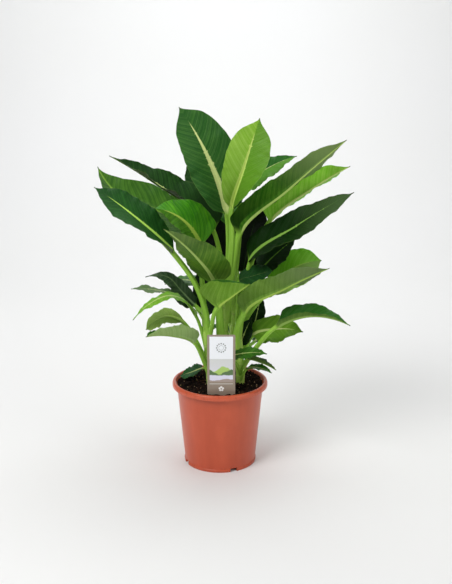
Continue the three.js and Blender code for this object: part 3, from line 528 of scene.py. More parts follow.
def relief(spec, seed, b, length, share, rib_share, off):
    """How far the skin lies above a plain wing, and the number of the side vein there.

    Lift = one slow wave that grows with share squared + three finer ones that grow
    with its cube + a sine of the vein number. The vein number = (distance along the
    blade - lean * distance out - bend * its square) / spacing, made uneven by two sines.
    """
    random = np.random.default_rng(seed)
    calm = np.clip(4 * b * (1 - b), 0, 1)
    waves = spec["waves"]
    lift = spec["wave"] * calm * share**2 * np.sin(2 * np.pi * (waves * b + either(0, 0.31)))
    for count, height in FRILLS:
        right_phase, left_phase = random.random(2)
        small = count * (waves * b + 0.3 * b**2) + either(left_phase, right_phase)
        lift = lift + FRILL * height * calm**0.5 * share**3 * np.sin(2 * np.pi * small)
    vein = (b * length - VEIN_LEAN * off - VEIN_BEND * off**2) / VEIN_SPACING
    vein = vein + 0.3 * np.sin(1.45 * vein + seed) + 0.2 * np.sin(2.3 * vein + 2 * seed)
    depth = PLEAT * (0.65 + 0.35 * np.sin(1.9 * vein + 3 * seed))
    pleat = depth * np.sin(np.pi * vein) * smooth(share, rib_share, 1.6 * rib_share + 0.1)
    return lift + pleat * calm * (1 - 0.5 * share), vein


print("points in one section:", 2 * COLUMN.size)

# %% One leaf
def both(upper, lower):
    """Two halves of a section as one ring: over the leaf, then back below it."""
    upper, lower = np.broadcast_arrays(upper, lower)
    return np.concatenate([upper, lower[:, ::-1]], axis=1)


def leaf_surface(spec, seed):
    """Points of one leaf, as rings round it, and the numbers its material reads.

    Wing point = the arc, plus its relief along the surface's own normal, plus or
    minus half the thickness. The rib adds a half circle below. On the stalk the
    section is a circle, and past the neck the wings take over.
    """
    neck, length, s, t, centre, side, face = leaf_line(spec)
    b = np.clip(t, 0, 1)[:, None]
    stalk = spec["rib"] * mix(1, STALK_SWELL, np.clip(1 - s / neck, 0, 1) ** 1.3)
    rib = np.where(t < 0, stalk, spec["rib"] * (1 - b[:, 0]) ** 0.8 + RIB_TIP)[:, None]
    share, rib_share, off, across, up, (out_x, out_y) = wings(spec, b, rib)
    lift, vein = relief(spec, seed, b, length, share, rib_share, off)
    half = mix(BLADE_THICKNESS, RIM_THICKNESS, smooth(share, 0.8, 1)) / 2
    bulge = rib * np.sqrt(np.clip(1 - (off / rib) ** 2, 0, 1))
    x = across + lift * out_x
    y = up + lift * out_y
    round_angle = mix(np.pi - 0.15, 0.15, (COLUMN - COLUMN[0, 0]) / (COLUMN[0, -1] - COLUMN[0, 0]))
    circle_x = rib * np.cos(round_angle)
    circle_y = rib * np.sin(round_angle)
    channel = CHANNEL * rib * np.exp(-(circle_x / (0.5 * rib)) ** 2)
    flat = smooth(t, -0.02, 0.08)[:, None]
    ring_x = both(mix(circle_x, x + out_x * half, flat), mix(circle_x, x - out_x * half, flat))
    ring_y = both(mix(circle_y * STALK_TOP - channel, y + out_y * half + RIB_TOP * bulge, flat),
                  mix(-circle_y, y - out_y * half - bulge, flat))
    points = centre[:, None] + ring_x[..., None] * side[:, None] + ring_y[..., None] * face[:, None]
    notes = dict(along=t[:, None], down=(s / neck)[:, None], off=SIGN * off, share=share, vein=vein,
                 round=round_angle, reach=s[:, None])
    notes = {key: np.broadcast_to(value, x.shape) for key, value in notes.items()}
    notes = {key: both(value, value) for key, value in notes.items()}
    notes["below"] = both(np.zeros_like(x), np.ones_like(x))
    return points, {key: value.ravel() for key, value in notes.items()}


def make_leaf(name, spec, seed):
    """One leaf as an object."""
    points, notes = leaf_surface(spec, seed)
    faces = sleeve_faces(points.shape[0], points.shape[1], "strip")
    return mesh_object("fine_leaf_" + name, points, faces, notes)


# %% [markdown]
# ## Writing materials as sums
#
# A material is a small calculation that Blender repeats at every point of a
# surface. Drawn as nodes it is hard to read, so the class below wraps a node's
# output, and Python's own signs then add the Math nodes: `1 - mask * 0.5` makes
# two of them. Colours go through Mix nodes, because a Math node would turn them
# grey.

# %% Values
class Value:
    """A number, vector or colour that is worked out at each point."""

    def __init__(self, shade, socket):
        """shade is the material that the value belongs to, socket where it comes out."""
        self.shade = shade
        self.socket = socket

    def __rsub__(self, other):
        """A plain number minus the value."""
        return self.shade.node("Math", {"operation": "SUBTRACT"}, {0: other, 1: self})

    def ramp(self, low, high):
        """0 below low, 1 above high, smooth between. low may be above high."""
        inputs = {"Value": self, "From Min": low, "From Max": high}
        return self.shade.node("MapRange", {"interpolation_type": "SMOOTHSTEP"}, inputs)


def math_method(operation):
    """A method that adds one Math node, with the value itself as its first number."""
    def method(self, *others):
        return self.shade.node("Math", {"operation": operation}, dict(enumerate((self, *others))))
    return method


OPERATIONS = dict(__add__="ADD", __radd__="ADD", __sub__="SUBTRACT", __mul__="MULTIPLY", __rmul__="MULTIPLY",
                  __truediv__="DIVIDE", __pow__="POWER", __abs__="ABSOLUTE", sine="SINE", fraction="FRACT",
                  whole="FLOOR", least="MINIMUM", most="MAXIMUM")
for method_name, operation in OPERATIONS.items():
    setattr(Value, method_name, math_method(operation))
print("a value knows", len(OPERATIONS) + 2, "operations")

# %% Shades
class Shade:
    """A material under construction."""

    def __init__(self, name):
        """An empty material of this name."""
        self.material = bpy.data.materials.new(name)
        self.material.use_nodes = True
        self.tree = self.material.node_tree
        self.tree.nodes.clear()

    def node(self, kind, settings=None, inputs=None, output=0):
        """Adds a node: its type, then its settings, then its sockets."""
        made = self.tree.nodes.new("ShaderNode" + kind)
        for key, value in (settings or {}).items():
            setattr(made, key, value)
        for key, value in (inputs or {}).items():
            if isinstance(value, Value):
                self.tree.links.new(value.socket, made.inputs[key])
            else:
                made.inputs[key].default_value = value
        return Value(self, made.outputs[output]) if made.outputs else None

    def note(self, name):
        """A number that was stored on the mesh."""
        return self.node("Attribute", {"attribute_name": name}, output="Fac")

    def place(self, stretch=(1, 1, 1)):
        """Object coordinates in metres, stretched along each axis."""
        spot = self.node("TexCoord", output="Object")
        return self.node("VectorMath", {"operation": "MULTIPLY"}, {0: spot, 1: stretch})

    def noise(self, where, scale, detail=3, rough=0.55):
        """Smooth noise round 0.5. scale is how many blobs fit in a metre."""
        inputs = {"Vector": where, "Scale": scale, "Detail": detail, "Roughness": rough}
        return self.node("TexNoise", None, inputs)

    def blend(self, share, first, second):
        """The first colour where share is 0 and the second where it is 1."""
        settings = {"data_type": "RGBA", "blend_type": "MIX", "clamp_factor": True}
        return self.node("Mix", settings, {0: share, 6: first, 7: second}, output=2)

    def coats(self, base, *coats):
        """A colour with others laid over it. Each coat is its share, then its colour."""
        for share, over in coats:
            base = self.blend(share, base, over)
        return base

    def vector(self, x, y, z):
        """Three numbers as one place."""
        return self.node("CombineXYZ", None, {0: x, 1: y, 2: z})

    def bump(self, height, strength=1):
        """Bends the light as if the surface rose by height, in millimetres."""
        inputs = {"Height": height, "Strength": strength, "Distance": 0.001}
        return self.node("Bump", None, inputs)

    def surface(self, colour, roughness, normal=None, **fixed):
        """The Principled shader. fixed sets sockets that are the same all over."""
        inputs = {"Base Color": colour, "Roughness": roughness}
        if normal is not None:
            inputs["Normal"] = normal
        inputs.update({key.replace("_", " "): value for key, value in fixed.items()})
        return self.node("BsdfPrincipled", None, inputs)

    def finish(self, shader):
        """Connects the shader to the output and gives the material back."""
        self.node("OutputMaterial", None, {"Surface": shader})
        return self.material


def colour(red, green, blue):
    """A colour as a screen shows it, from 0 to 255, turned into light."""
    c = np.array([red, green, blue]) / 255
    light = np.where(c <= 0.04045, c / 12.92, ((c + 0.055) / 1.055) ** 2.4)
    return (*light.tolist(), 1.0)


print("mid grey is", round(colour(128, 128, 128)[0], 3), "of full light")

# %% [markdown]
# ## Leaf skin
#
# The upper side is dark and satin. A cream stripe runs up the midrib and frays
# into short barbs where side veins leave it. The side veins are a shade lighter,
# and much finer ones between them hardly show. The underside is paler, more
# olive and duller, with a raised rib. A stalk is light green with long streaks,
# and turns paler where it clasps the stem. A little light passes through a thin
# blade, which a translucent share gives. Leaves differ: young ones are yellow
# green and old ones dark green. Some colours also hold painted light and shade:
# leaves far inside the plant are painted nearly black as painted shade, a blade
# can darken towards its base with painted shade, one half of a blade can be
# painted lighter or darker, a few leaves that lie in shade are painted lighter,
# and a paler tip is partly painted sheen.

# %% Leaf colours
TONES = {
    "dark": dict(top=(20, 78, 28), light=(36, 106, 38), under=(74, 104, 38), glint=(104, 134, 60)),
    "middle": dict(top=(44, 104, 16), light=(78, 142, 30), under=(78, 112, 34), glint=(114, 150, 62)),
    "young": dict(top=(92, 152, 28), light=(150, 196, 76), under=(120, 158, 64), glint=(150, 186, 96)),
}
# Among these numbers, one sets the painted shade at a blade's base, one paints one half of a blade lighter
# or darker, and one blends in a paler tip that is partly painted sheen.
COMMON = dict(cream=(220, 238, 148), stripe=1.0, flare=1.0, shade_at_base=0.25, uneven=0.0, shine=0.42, gloss=0.22,
              rib_tone=(150, 184, 88), tip=(110, 140, 80), tip_tone_and_sheen=0.0)
# Painted shade: leaves far inside the plant get these near-black and dark colours in place of the shadow
# that falls on them.
PAINTED_SHADE_NEAR_BLACK = dict(top=(6, 18, 5), light=(10, 26, 8), stripe=0.3, cream=(50, 76, 28))
SHADED = dict(top=(14, 40, 12), light=(20, 52, 16))
OWN = {
    "upright_left": dict(top=(42, 98, 34), light=(88, 142, 60), stripe=1.35, cream=(242, 255, 164)),
    "upright_right": dict(top=(136, 190, 50), light=(178, 218, 98), under=(78, 136, 20), uneven=0.75,
                          stripe=1.25, cream=(206, 230, 116)),
    "behind_right": dict(top=(34, 100, 20), light=(62, 136, 34), under=(102, 166, 44), uneven=0.85,
                         stripe=0.25),
    "right_high": dict(under=(40, 100, 6), glint=(100, 150, 44), rib_tone=(204, 234, 126), shade_at_base=0.8,
                       tip=(140, 166, 100), tip_tone_and_sheen=0.85, gloss=0.1),
    "left_high_dark": dict(top=(18, 56, 10), light=(48, 96, 32), shade_at_base=2.2, shine=0.55, gloss=0.08),
    "left_high_green": dict(under=(46, 96, 14), glint=(98, 154, 44), rib_tone=(138, 186, 66)),
    "left_underside": dict(under=(72, 120, 22), glint=(140, 182, 64), rib_tone=(186, 214, 116),
                           tip=(104, 124, 74), tip_tone_and_sheen=0.6),
    "left_big_dark": dict(top=(26, 78, 24), light=(50, 112, 38), stripe=1.1, cream=(206, 255, 108),
                          gloss=0.15),
    "left_bright": dict(top=(44, 124, 2), light=(112, 196, 36), stripe=1.2, cream=(184, 214, 84),
                        uneven=-0.5),
    "fan": dict(under=(112, 162, 38), glint=(160, 206, 80), rib_tone=(192, 226, 96)),
    "left_mid_dark": dict(top=(48, 80, 46), light=(108, 132, 98), stripe=0.6, cream=(140, 168, 116),
                          shade_at_base=0.8),
    "left_thin": dict(top=(96, 134, 72), light=(128, 162, 98)),
    "left_droop": dict(top=(124, 186, 44), light=(168, 222, 92), under=(124, 172, 48), glint=(160, 204, 80)),
    "left_low": dict(under=(160, 196, 112), glint=(190, 220, 148)),
    # Painted light: this underside is lightened to make up for the shade it lies in.
    "left_curl": dict(under=(188, 226, 110), glint=(212, 240, 146)),
    "right_low_large": dict(under=(102, 144, 46), glint=(144, 182, 82), rib_tone=(178, 214, 92),
                            tip=(112, 132, 88), tip_tone_and_sheen=0.7),
    "right_arch": dict(top=(34, 92, 18), light=(66, 128, 36)),
    "right_low_back": dict(top=(96, 146, 28), light=(136, 184, 58)),
    # Painted light: this leaf is lightened to make up for the shade it lies in.
    "right_mid": dict(under=(130, 208, 42), glint=(186, 240, 98), rib_tone=(236, 255, 150), shade_at_base=0.0),
    "right_dark": dict(top=(6, 38, 2), light=(22, 60, 14), stripe=1.3, cream=(150, 198, 86), flare=1.7,
                       shade_at_base=1.6, tip=(92, 122, 72), tip_tone_and_sheen=0.55, gloss=0.12),
    "right_dark_small": dict(top=(14, 44, 12), light=(26, 66, 22), stripe=0.6, cream=(130, 176, 70)),
    # Painted light: this leaf is lightened to make up for the shade it lies in.
    "right_round": dict(top=(120, 204, 34), light=(160, 226, 80), under=(150, 180, 100), uneven=0.8,
                        stripe=0.9, cream=(190, 224, 104)),
    "inner_left": PAINTED_SHADE_NEAR_BLACK,
    "inner_right": PAINTED_SHADE_NEAR_BLACK,
    "right_inner_dark": dict(SHADED, stripe=0.5),
    "right_back_dark": dict(SHADED, stripe=0.4),
    # Painted shade: this inner leaf is coloured nearly black for the shadow it lies in.
    "left_inner_low": dict(top=(12, 34, 10), light=(18, 46, 14), stripe=0.4),
    "behind_left": dict(top=(28, 70, 22), light=(50, 100, 30)),
    "middle_right_dark": dict(top=(22, 68, 24), light=(40, 94, 40), stripe=0.0),
    "tag_side": dict(top=(52, 104, 28), light=(84, 138, 46), stripe=0.7),
    "right_grey": dict(top=(70, 96, 58), light=(92, 118, 76), stripe=0.5),
}
print("leaves with colours of their own:", len(OWN))

# %% The marks on a blade
def blade_marks(shade, seed):
    """What both sides of a blade read: its notes, two noises, and waves of the vein number.

    band is a wave over two veins, line one that is two and a half times as close, and
    hair one that is nine times as close. far is the distance from the midrib.
    """
    marks = SimpleNamespace(**{name: shade.note(name) for name in ("along", "off", "share", "vein")})
    shift = shade.node("VectorMath", {"operation": "ADD"}, {0: shade.place(), 1: (seed * 0.37, 0, 0)})
    marks.blotch = shade.noise(shift, 24, 4)
    marks.fine = shade.noise(shift, 420, 3)
    marks.far = abs(marks.off)
    marks.line = (marks.vein * (np.pi * 2.5) + (marks.blotch - 0.5) * 3).sine().ramp(-0.4, 1)
    marks.band = (marks.vein * np.pi).sine()
    marks.hair = (marks.vein * (np.pi * 9) + marks.fine * 5).sine()
    return marks


def cream_stripe(shade, marks, look, seed, rib):
    """Where the cream stripe is: as wide as the rib, narrower towards the tip, with barbs.

    A barb is a peak on a side vein. A random number for each vein says how strong it is.
    """
    lane = (marks.vein + 0.5).whole()
    chance = shade.node("TexWhiteNoise", {"noise_dimensions": "1D"}, {"W": lane + seed}).ramp(0.6, 0.9)
    barb = (1 - abs((marks.vein + 0.5).fraction() - 0.5) * 2) ** 5 * chance * min(look["stripe"], 1)
    edge = (1 - marks.along / 0.88).most(0) ** look["flare"] * (rib * 1.25 * look["stripe"])
    edge = edge + barb * 3.2 * marks.along.ramp(0.05, 0.3) + (marks.fine - 0.5) * 0.8
    return (edge - marks.far).ramp(-0.4, 0.4) * marks.along.ramp(0.88, 0.8)


# %% The two sides of a blade
def upper_side(shade, marks, look, tint, stripe, rib):
    """Mottled green with lighter veins, perhaps one half painted lighter or darker, a bright edge and the
    stripe.
    """
    mottle = (marks.blotch - 0.4) * 1.4 + marks.line * 0.3 + marks.band * 0.18
    # Painted light and shade: one half of the blade takes the under tone, as if it were lit or shaded
    # differently from the other.
    half = marks.off.ramp(-2, 2) if look["uneven"] > 0 else marks.off.ramp(2, -2)
    cream = shade.blend((marks.far / (rib + 1)).least(1) * 0.2, tint["cream"], tint["light"])
    return shade.coats(
        shade.blend(mottle, tint["top"], tint["light"]),
        (marks.hair.ramp(0, 1) * 0.1, tint["light"]),
        (half * abs(look["uneven"]), tint["under"]),
        (marks.share.ramp(0.96, 1.0) * 0.4, tint["glint"]),
        (stripe, cream),
    )


def under_side(shade, marks, tint, raised):
    """Paler and more olive, with the raised rib in a tone of its own."""
    pale = (marks.blotch - 0.35) * 1.2 + marks.line * 0.2 + marks.band * 0.14
    return shade.coats(
        shade.blend(pale, tint["under"], tint["glint"]),
        (marks.hair.ramp(0.2, 1) * 0.14, tint["top"]),
        (raised * 0.9, tint["rib_tone"]),
    )


def stalk_skin(shade, streak, seed):
    """Light green with long streaks and pale dots, paler where it clasps the stem."""
    spot = shade.vector(shade.note("round") * 1.2, shade.note("reach") * 0.05, seed + 3)
    return shade.coats(
        shade.blend(streak.ramp(0.2, 0.8), colour(122, 178, 46), colour(162, 206, 84)),
        (shade.noise(spot, 6, 2).ramp(0.6, 0.72) * 0.35, colour(180, 210, 116)),
        (shade.note("down").ramp(0.4, 0.0) * 0.5, colour(166, 196, 92)),
    )


# %% The leaf material
def leaf_material(name, look, seed, rib):
    """Skin of one leaf, from its look, its seed and the radius of its rib.

    The height is fine hairs and sunken lines on a blade, streaks on a stalk. A
    blade's heart can be darkened with painted shade, its tip can have a paler tone of
    its own that is partly painted sheen, and ends brown.
    """
    shade = Shade("leaf skin " + name)
    tint = {key: colour(*value) for key, value in look.items() if isinstance(value, tuple)}
    marks = blade_marks(shade, seed)
    below = shade.note("below").ramp(0.3, 0.7)
    stripe = cream_stripe(shade, marks, look, seed, rib)
    raised = ((1 - marks.along * 0.95).most(0) * (rib * 0.62) + 0.7 - marks.far).ramp(-0.6, 0.6)
    upper = upper_side(shade, marks, look, tint, stripe, rib)
    # Painted shade: the blade darkens towards its base, where the stalks and the leaves above shade it.
    painted_base_shade = (marks.along.ramp(0.42, 0.02) * look["shade_at_base"]).least(1) * (1 - stripe.most(raised * below))
    blade = shade.coats(
        upper,
        (below, under_side(shade, marks, tint, raised)),
        # The paler tip is partly the leaf's own tone and partly a painted sheen.
        (marks.along.ramp(0.35, 0.9) * (1 - raised * below) * look["tip_tone_and_sheen"], tint["tip"]),
        (painted_base_shade, colour(14, 46, 4)),
        (marks.along.ramp(0.965, 0.995) * 0.8, colour(66, 62, 44)),
    )
    streak_place = shade.vector(shade.note("round") * 2.2, shade.note("reach") * 0.006, seed)
    streak = shade.noise(streak_place, 5, 4, 0.6)
    is_blade = marks.along.ramp(-0.01, 0.05)
    skin = shade.blend(is_blade, stalk_skin(shade, streak, seed), blade)

    dull = look["shine"] + below * 0.12 + (marks.blotch - 0.5) * 0.12
    height = (marks.hair * 0.03 - marks.line * 0.22) * (1 - below * 1.6) * is_blade + marks.fine * 0.08
    normal = shade.bump(height + streak * 0.12 * (1 - is_blade), 0.9)
    shader = shade.surface(skin, dull, normal, Specular_IOR_Level=look["gloss"])
    glow = shade.node("BsdfTranslucent", None, {"Color": tint["light"]})
    return shade.finish(shade.node("MixShader", None, {0: is_blade * 0.2, 1: shader, 2: glow}))


# %% Making the leaves
for number, (name, spec) in enumerate(LEAVES.items()):
    look = {**COMMON, **TONES[spec["tone"]], **OWN.get(name, {})}
    piece = make_leaf(name, spec, number)
    skin = leaf_material(name, look, number * 1.7, spec["rib"])
    dress(piece, skin, "leaf_" + spec["tone"], "leaf_" + name)
fine_leaves = [item for item in bpy.data.objects if item.name.startswith("fine_leaf")]
print("leaf triangles:", sum(2 * len(item.data.polygons) for item in fine_leaves))

# %% [markdown]
# ## Stems
#
# A stem is a soft cane. Each fallen leaf has left a ring, where the cane is a
# touch thicker and a thin darker line runs round it. The surface is a circle
# carried along the path, with the radius worked out from the distance.

# %% Stems
STEMS = {
    "left": dict(points=[[-14, -22, 132], [-21, -24, 219], [-27, -27, 286]], radius=[10, 7]),
    "centre": dict(points=[[4, -2, 130], [6, -4, 254], [9, -3, 350]], radius=[12, 8]),
    "right": dict(points=[[38, -12, 132], [40, -8, 203], [36, -4, 262]], radius=[9.5, 7]),
    "back": dict(points=[[16, 38, 130], [26, 36, 230], [32, 34, 318]], radius=[11, 7.5]),
}
RING_SPACING = 24
RING_SWELL = 0.7
GROOVE = 0.35  # depth of the line in each ring
DOME = 0.1  # share of the cane that rounds off at its top


def make_stem(name, spec, sides=56, step=1.2):
    """Radius = straight taper + swelling at each ring - a groove in it, under a dome."""
    path = smooth_path(spec["points"])
    length = path[2][-1]
    s = np.linspace(0, length, int(length / step))
    heading = headings_at(path, s)
    side = unit(np.array([1.0, 0, 0]) - heading * heading[:, :1])
    other = np.cross(heading, side)
    ring = np.cos(2 * np.pi * s / RING_SPACING)
    groove = GROOVE * np.exp(-((((s / RING_SPACING + 0.5) % 1 - 0.5) * RING_SPACING / 0.9) ** 2))
    dome = np.sqrt(1 - np.clip((s / length - (1 - DOME)) / DOME, 0, 0.985) ** 2)
    radius = mix(spec["radius"][0], spec["radius"][1], s / length)
    radius = (radius + RING_SWELL * np.maximum(ring, 0) ** 2 - groove) * dome
    angle = np.linspace(0, 2 * np.pi, sides, endpoint=False)
    lumps = 1 + 0.012 * np.sin(3 * angle[None] + s[:, None] * 0.05)
    spread = radius[:, None] * lumps
    points = along(path, s)[:, None] + (spread * np.cos(angle))[..., None] * side[:, None]
    points = points + (spread * np.sin(angle))[..., None] * other[:, None]
    faces = sleeve_faces(len(s), sides, "strip")
    notes = {
        "reach": np.repeat(s, sides),
        "round": np.tile(np.sin(angle), len(s)),
        "turn": np.tile(np.cos(angle), len(s)),
    }
    return mesh_object("fine_stem_" + name, points, faces, notes)


print("rings on the longest stem:", int(np.ptp([p[2] for p in STEMS["centre"]["points"]]) / RING_SPACING))

# %% The cane's skin
def stem_material():
    """Light green cane: long streaks, faint rings, browner near the soil."""
    shade = Shade("stem skin")
    reach = shade.note("reach")
    where = shade.vector(shade.note("round"), shade.note("turn"), reach * 0.01)
    streak = shade.noise(where, 3.2, 4)
    fleck = shade.noise(shade.place(), 260, 3)
    near = abs((reach / RING_SPACING + 0.5).fraction() - 0.5) * RING_SPACING
    ring = (near + (fleck - 0.5) * 0.8).ramp(1.1, 0.4)
    body = shade.coats(
        shade.blend(streak.ramp(0.1, 0.9), colour(152, 198, 70), colour(198, 228, 116)),
        (near.ramp(5, 0) * 0.3, colour(180, 208, 112)),
        (ring * 0.3, colour(116, 132, 56)),
        (fleck.ramp(0.6, 0.75) * 0.25, colour(196, 214, 150)),
        (reach.ramp(55, 20) * 0.45, colour(132, 118, 66)),
    )
    normal = shade.bump(streak * 0.25 + fleck * 0.1 - ring * 0.2)
    return shade.finish(shade.surface(body, 0.42 + streak * 0.15, normal, Specular_IOR_Level=0.3))


cane = stem_material()
for name, spec in STEMS.items():
    dress(make_stem(name, spec), cane, "stem", "stem_" + name)
print("stems:", ", ".join(STEMS))

# %% [markdown]
# ## The pot
#
# A nursery pot is moulded in one shot from terracotta-coloured plastic. Its wall
# tapers, a down-turned lip stiffens the top, and a foot ring with four drain
# notches carries it. The profile below goes from the axis out under the floor,
# up the outside, over the lip and back down the inside. Its corners are rounded
# by short parabolas, as a mould's are. The profile is then turned round the
# axis. Where a notch is, the foot of the profile is simply pushed up.

# %% The pot's profile
NOTCH_HEIGHT = 7
NOTCH_WIDTH = 14
NOTCH_TURN = -67.5  # degrees to the first notch
FOOT_RADIUS = 71
FOOT_INSIDE = 60  # nothing inside this radius belongs to the foot ring
CRISP = 0.002  # half the angle over which a notch's side rises, in radians
POT_PROFILE = [
    [0.5, 8], [67.8, 8], [68.4, 0], [72.2, 0], [72.6, 4.8], [71, 5.6],
    [86, 157.5], [88.6, 166.2], [90.6, 167.8], [93.2, 165.4], [93.2, 159.5],
    [95, 159.5], [95, 165.5], [93.7, 168.6], [91, 170], [88.4, 169.2],
    [86.8, 166], [84.2, 162.5], [83.8, 155.5], [68.8, 10.4], [0.5, 10.4],
]


def rounded(points, cut=0.7, steps=4):
    """Each corner becomes a parabola between points a little before and after it."""
    points = np.asarray(points, float)
    before = points[:-2] - points[1:-1]
    after = points[2:] - points[1:-1]
    reach_in = np.minimum(cut, np.linalg.norm(before, axis=1) * 0.4)[:, None]
    reach_out = np.minimum(cut, np.linalg.norm(after, axis=1) * 0.4)[:, None]
    first = points[1:-1] + unit(before) * reach_in
    last = points[1:-1] + unit(after) * reach_out
    x = np.linspace(0, 1, steps)[None, :, None]
    arc = first[:, None] * (1 - x) ** 2 + points[1:-1, None] * 2 * x * (1 - x)
    arc = arc + last[:, None] * x**2
    return np.vstack([points[:1], arc.reshape(-1, 2), points[-1:]])


def filled_in(points, step=6):
    """Adds points to the long straight stretches, so bumps and light have something to hold."""
    pieces = []
    for a, b in zip(points[:-1], points[1:]):
        count = max(1, int(np.linalg.norm(b - a) / step))
        pieces.append(a + (b - a) * np.linspace(0, 1, count, endpoint=False)[:, None])
    return np.vstack([*pieces, points[-1:]])


# %% Turning the pot
def make_pot(sides=240):
    """Point = (radius cos angle, radius sin angle, height), foot raised in the notches."""
    profile = filled_in(rounded(POT_PROFILE))
    middles = np.radians(NOTCH_TURN + 90 * np.arange(4))
    half = np.arcsin(NOTCH_WIDTH / 2 / FOOT_RADIUS)
    edges = np.concatenate([middles - half, middles + half])
    edges = np.concatenate([edges - CRISP, edges + CRISP])
    edges = (edges + np.pi) % (2 * np.pi) - np.pi
    angle = np.sort(np.concatenate([np.linspace(-np.pi, np.pi, sides, endpoint=False), edges]))
    away = abs((angle[:, None] - middles[None] + np.pi) % (2 * np.pi) - np.pi).min(axis=1)
    radius = np.repeat(profile[:, :1], len(angle), axis=1)
    height = np.repeat(profile[:, 1:], len(angle), axis=1)
    low = (away < half)[None] & (height < NOTCH_HEIGHT) & (radius > FOOT_INSIDE)
    height = np.where(low, NOTCH_HEIGHT + 0.02 * height, height)
    radius = np.where(low, np.minimum(radius, FOOT_RADIUS + 0.15 + 0.01 * height), radius)
    wobble = 1 + 0.0006 * np.sin(2 * angle + 0.7)[None]
    points = np.stack([radius * wobble * np.cos(angle), radius * wobble * np.sin(angle), height], -1)
    faces = sleeve_faces(len(profile), len(angle), "none")
    return mesh_object("fine_pot", points, faces, None, sharp=32), profile


# %% Closing the pot on its axis
def close_ends(piece, rings, count):
    """Adds one many-sided face at each open end of a sleeve."""
    shell = bmesh.new()
    shell.from_mesh(piece.data)
    shell.verts.ensure_lookup_table()
    first = [shell.verts[i] for i in range(count)]
    last = [shell.verts[(rings - 1) * count + i] for i in range(count)]
    shell.faces.new(first[::-1])
    shell.faces.new(last)
    shell.to_mesh(piece.data)
    shell.free()


pot, pot_profile = make_pot()
close_ends(pot, len(pot_profile), len(pot.data.vertices) // len(pot_profile))
print("points on the pot:", len(pot.data.vertices))

# %% Terracotta-coloured plastic
def pot_material():
    """Satin plastic: flow marks, faint scuffs, peat dust under the lip, and peat dust with painted shade at
    the foot.
    """
    shade = Shade("terracotta plastic")
    spot = shade.place()
    z = shade.node("SeparateXYZ", None, {"Vector": spot}, output=2) * 1000
    flow = shade.noise(shade.place((1, 1, 0.18)), 30, 4)
    cloud = shade.noise(spot, 14, 3)
    grain = shade.noise(spot, 900, 2)
    scuff = shade.noise(shade.place((1, 1, 6)), 55, 5, 0.7).ramp(0.63, 0.72)
    dust = shade.noise(spot, 160, 5, 0.7)
    # Peat dust in patches under the lip. At the foot the same darkening is partly dust and partly painted
    # shade.
    dust_and_foot_shade = (z.ramp(150, 170) * 0.35 + z.ramp(14, 0) * 0.5) * dust.ramp(0.5, 0.68)
    body = shade.coats(
        shade.blend(flow.ramp(0.25, 0.75), colour(186, 76, 44), colour(202, 88, 54)),
        (cloud.ramp(0.4, 0.7) * 0.3, colour(178, 70, 40)),
        (z.ramp(157, 160) * 0.35, colour(214, 96, 60)),
        (scuff * 0.18, colour(222, 150, 124)),
        (dust_and_foot_shade, colour(84, 48, 34)),
    )
    rough = 0.34 + (flow - 0.5) * 0.12 + scuff * 0.2 + dust_and_foot_shade * 0.4
    normal = shade.bump(grain * 0.03 + flow * 0.12 + scuff * 0.03)
    return shade.finish(shade.surface(body, rough, normal, Coat_Weight=0.05))


dress(pot, pot_material(), "pot", "pot")
print("pot rim:", round(2 * pot_profile[:, 0].max(), 1), "mm across")

# %% [markdown]
# ## Soil
#
# Potting peat is never smooth: it is crumbs of every size on a lumpy bed, with
# bits of bark and fibre. The bed is a polar grid whose height adds the solid's
# own slow lumps to a sum of seeded waves. The crumbs are small faceted stones,
# made together in one array and scattered over it.

# %% The bed
SOIL_LEVEL = 165.5
SOIL_LUMP = 1.4
SOIL_RADIUS = 85.4
SOIL_WALL = [[82.4, 158], [76, 90], [68.5, 16], [64.5, 11]]  # radius and height down the plug
WAVES = 70
random = np.random.default_rng(7)
wave_way = random.uniform(0, 2 * np.pi, WAVES)
wave_count = np.geomspace(0.18, 1.9, WAVES)
wave_phase = random.uniform(0, 2 * np.pi, WAVES)


def soil_height(x, y):
    """Three slow waves and a mound, as in the solid, plus seventy finer waves."""
    lumps = np.sin(0.11 * x + 1.3) * np.cos(0.13 * y + 0.4)
    lumps = lumps + 0.6 * np.sin(0.23 * x - 0.19 * y + 2.1) + 0.4 * np.cos(0.31 * y + 0.27 * x)
    mound = 3 * np.exp(-(x * x + (y - 20) ** 2) / 2500)
    run = x[..., None] * np.cos(wave_way) + y[..., None] * np.sin(wave_way)
    fine = (np.sin(run * wave_count + wave_phase) * 0.42 / (1 + wave_count)).sum(-1)
    return SOIL_LEVEL + SOIL_LUMP * 0.5 * lumps + mound + 0.55 * fine


def make_bed(rings=84, sides=260):
    """A disc of points on circles, closed below by a plug that follows the pot."""
    angle = np.linspace(0, 2 * np.pi, sides, endpoint=False)
    radius = np.linspace(0.4, SOIL_RADIUS, rings)[:, None]
    x, y = radius * np.cos(angle), radius * np.sin(angle)
    z = soil_height(x, y) - 1.5 * smooth(radius, SOIL_RADIUS - 3, SOIL_RADIUS)
    wall = np.array(SOIL_WALL)
    x = np.concatenate([x, wall[:, :1] * np.cos(angle)])
    y = np.concatenate([y, wall[:, :1] * np.sin(angle)])
    z = np.concatenate([z, np.repeat(wall[:, 1:], sides, axis=1)])
    points = np.stack([x, y, z], -1)[::-1]
    faces = sleeve_faces(rings + len(wall), sides, "strip")
    return mesh_object("fine_soil_bed", points, faces, None, sharp=70)


print("the soil lies", round(float(soil_height(np.zeros(1), np.zeros(1))[0]), 1), "mm up in the middle")

# %% The crumbs
CRUMBS = 2400
BARK_BITS = 150
CLEAR_MIDDLE = 3  # a strip before the label's foot stays clear of crumbs
CLEAR_HALF = 29
CLEAR_FROM = -70


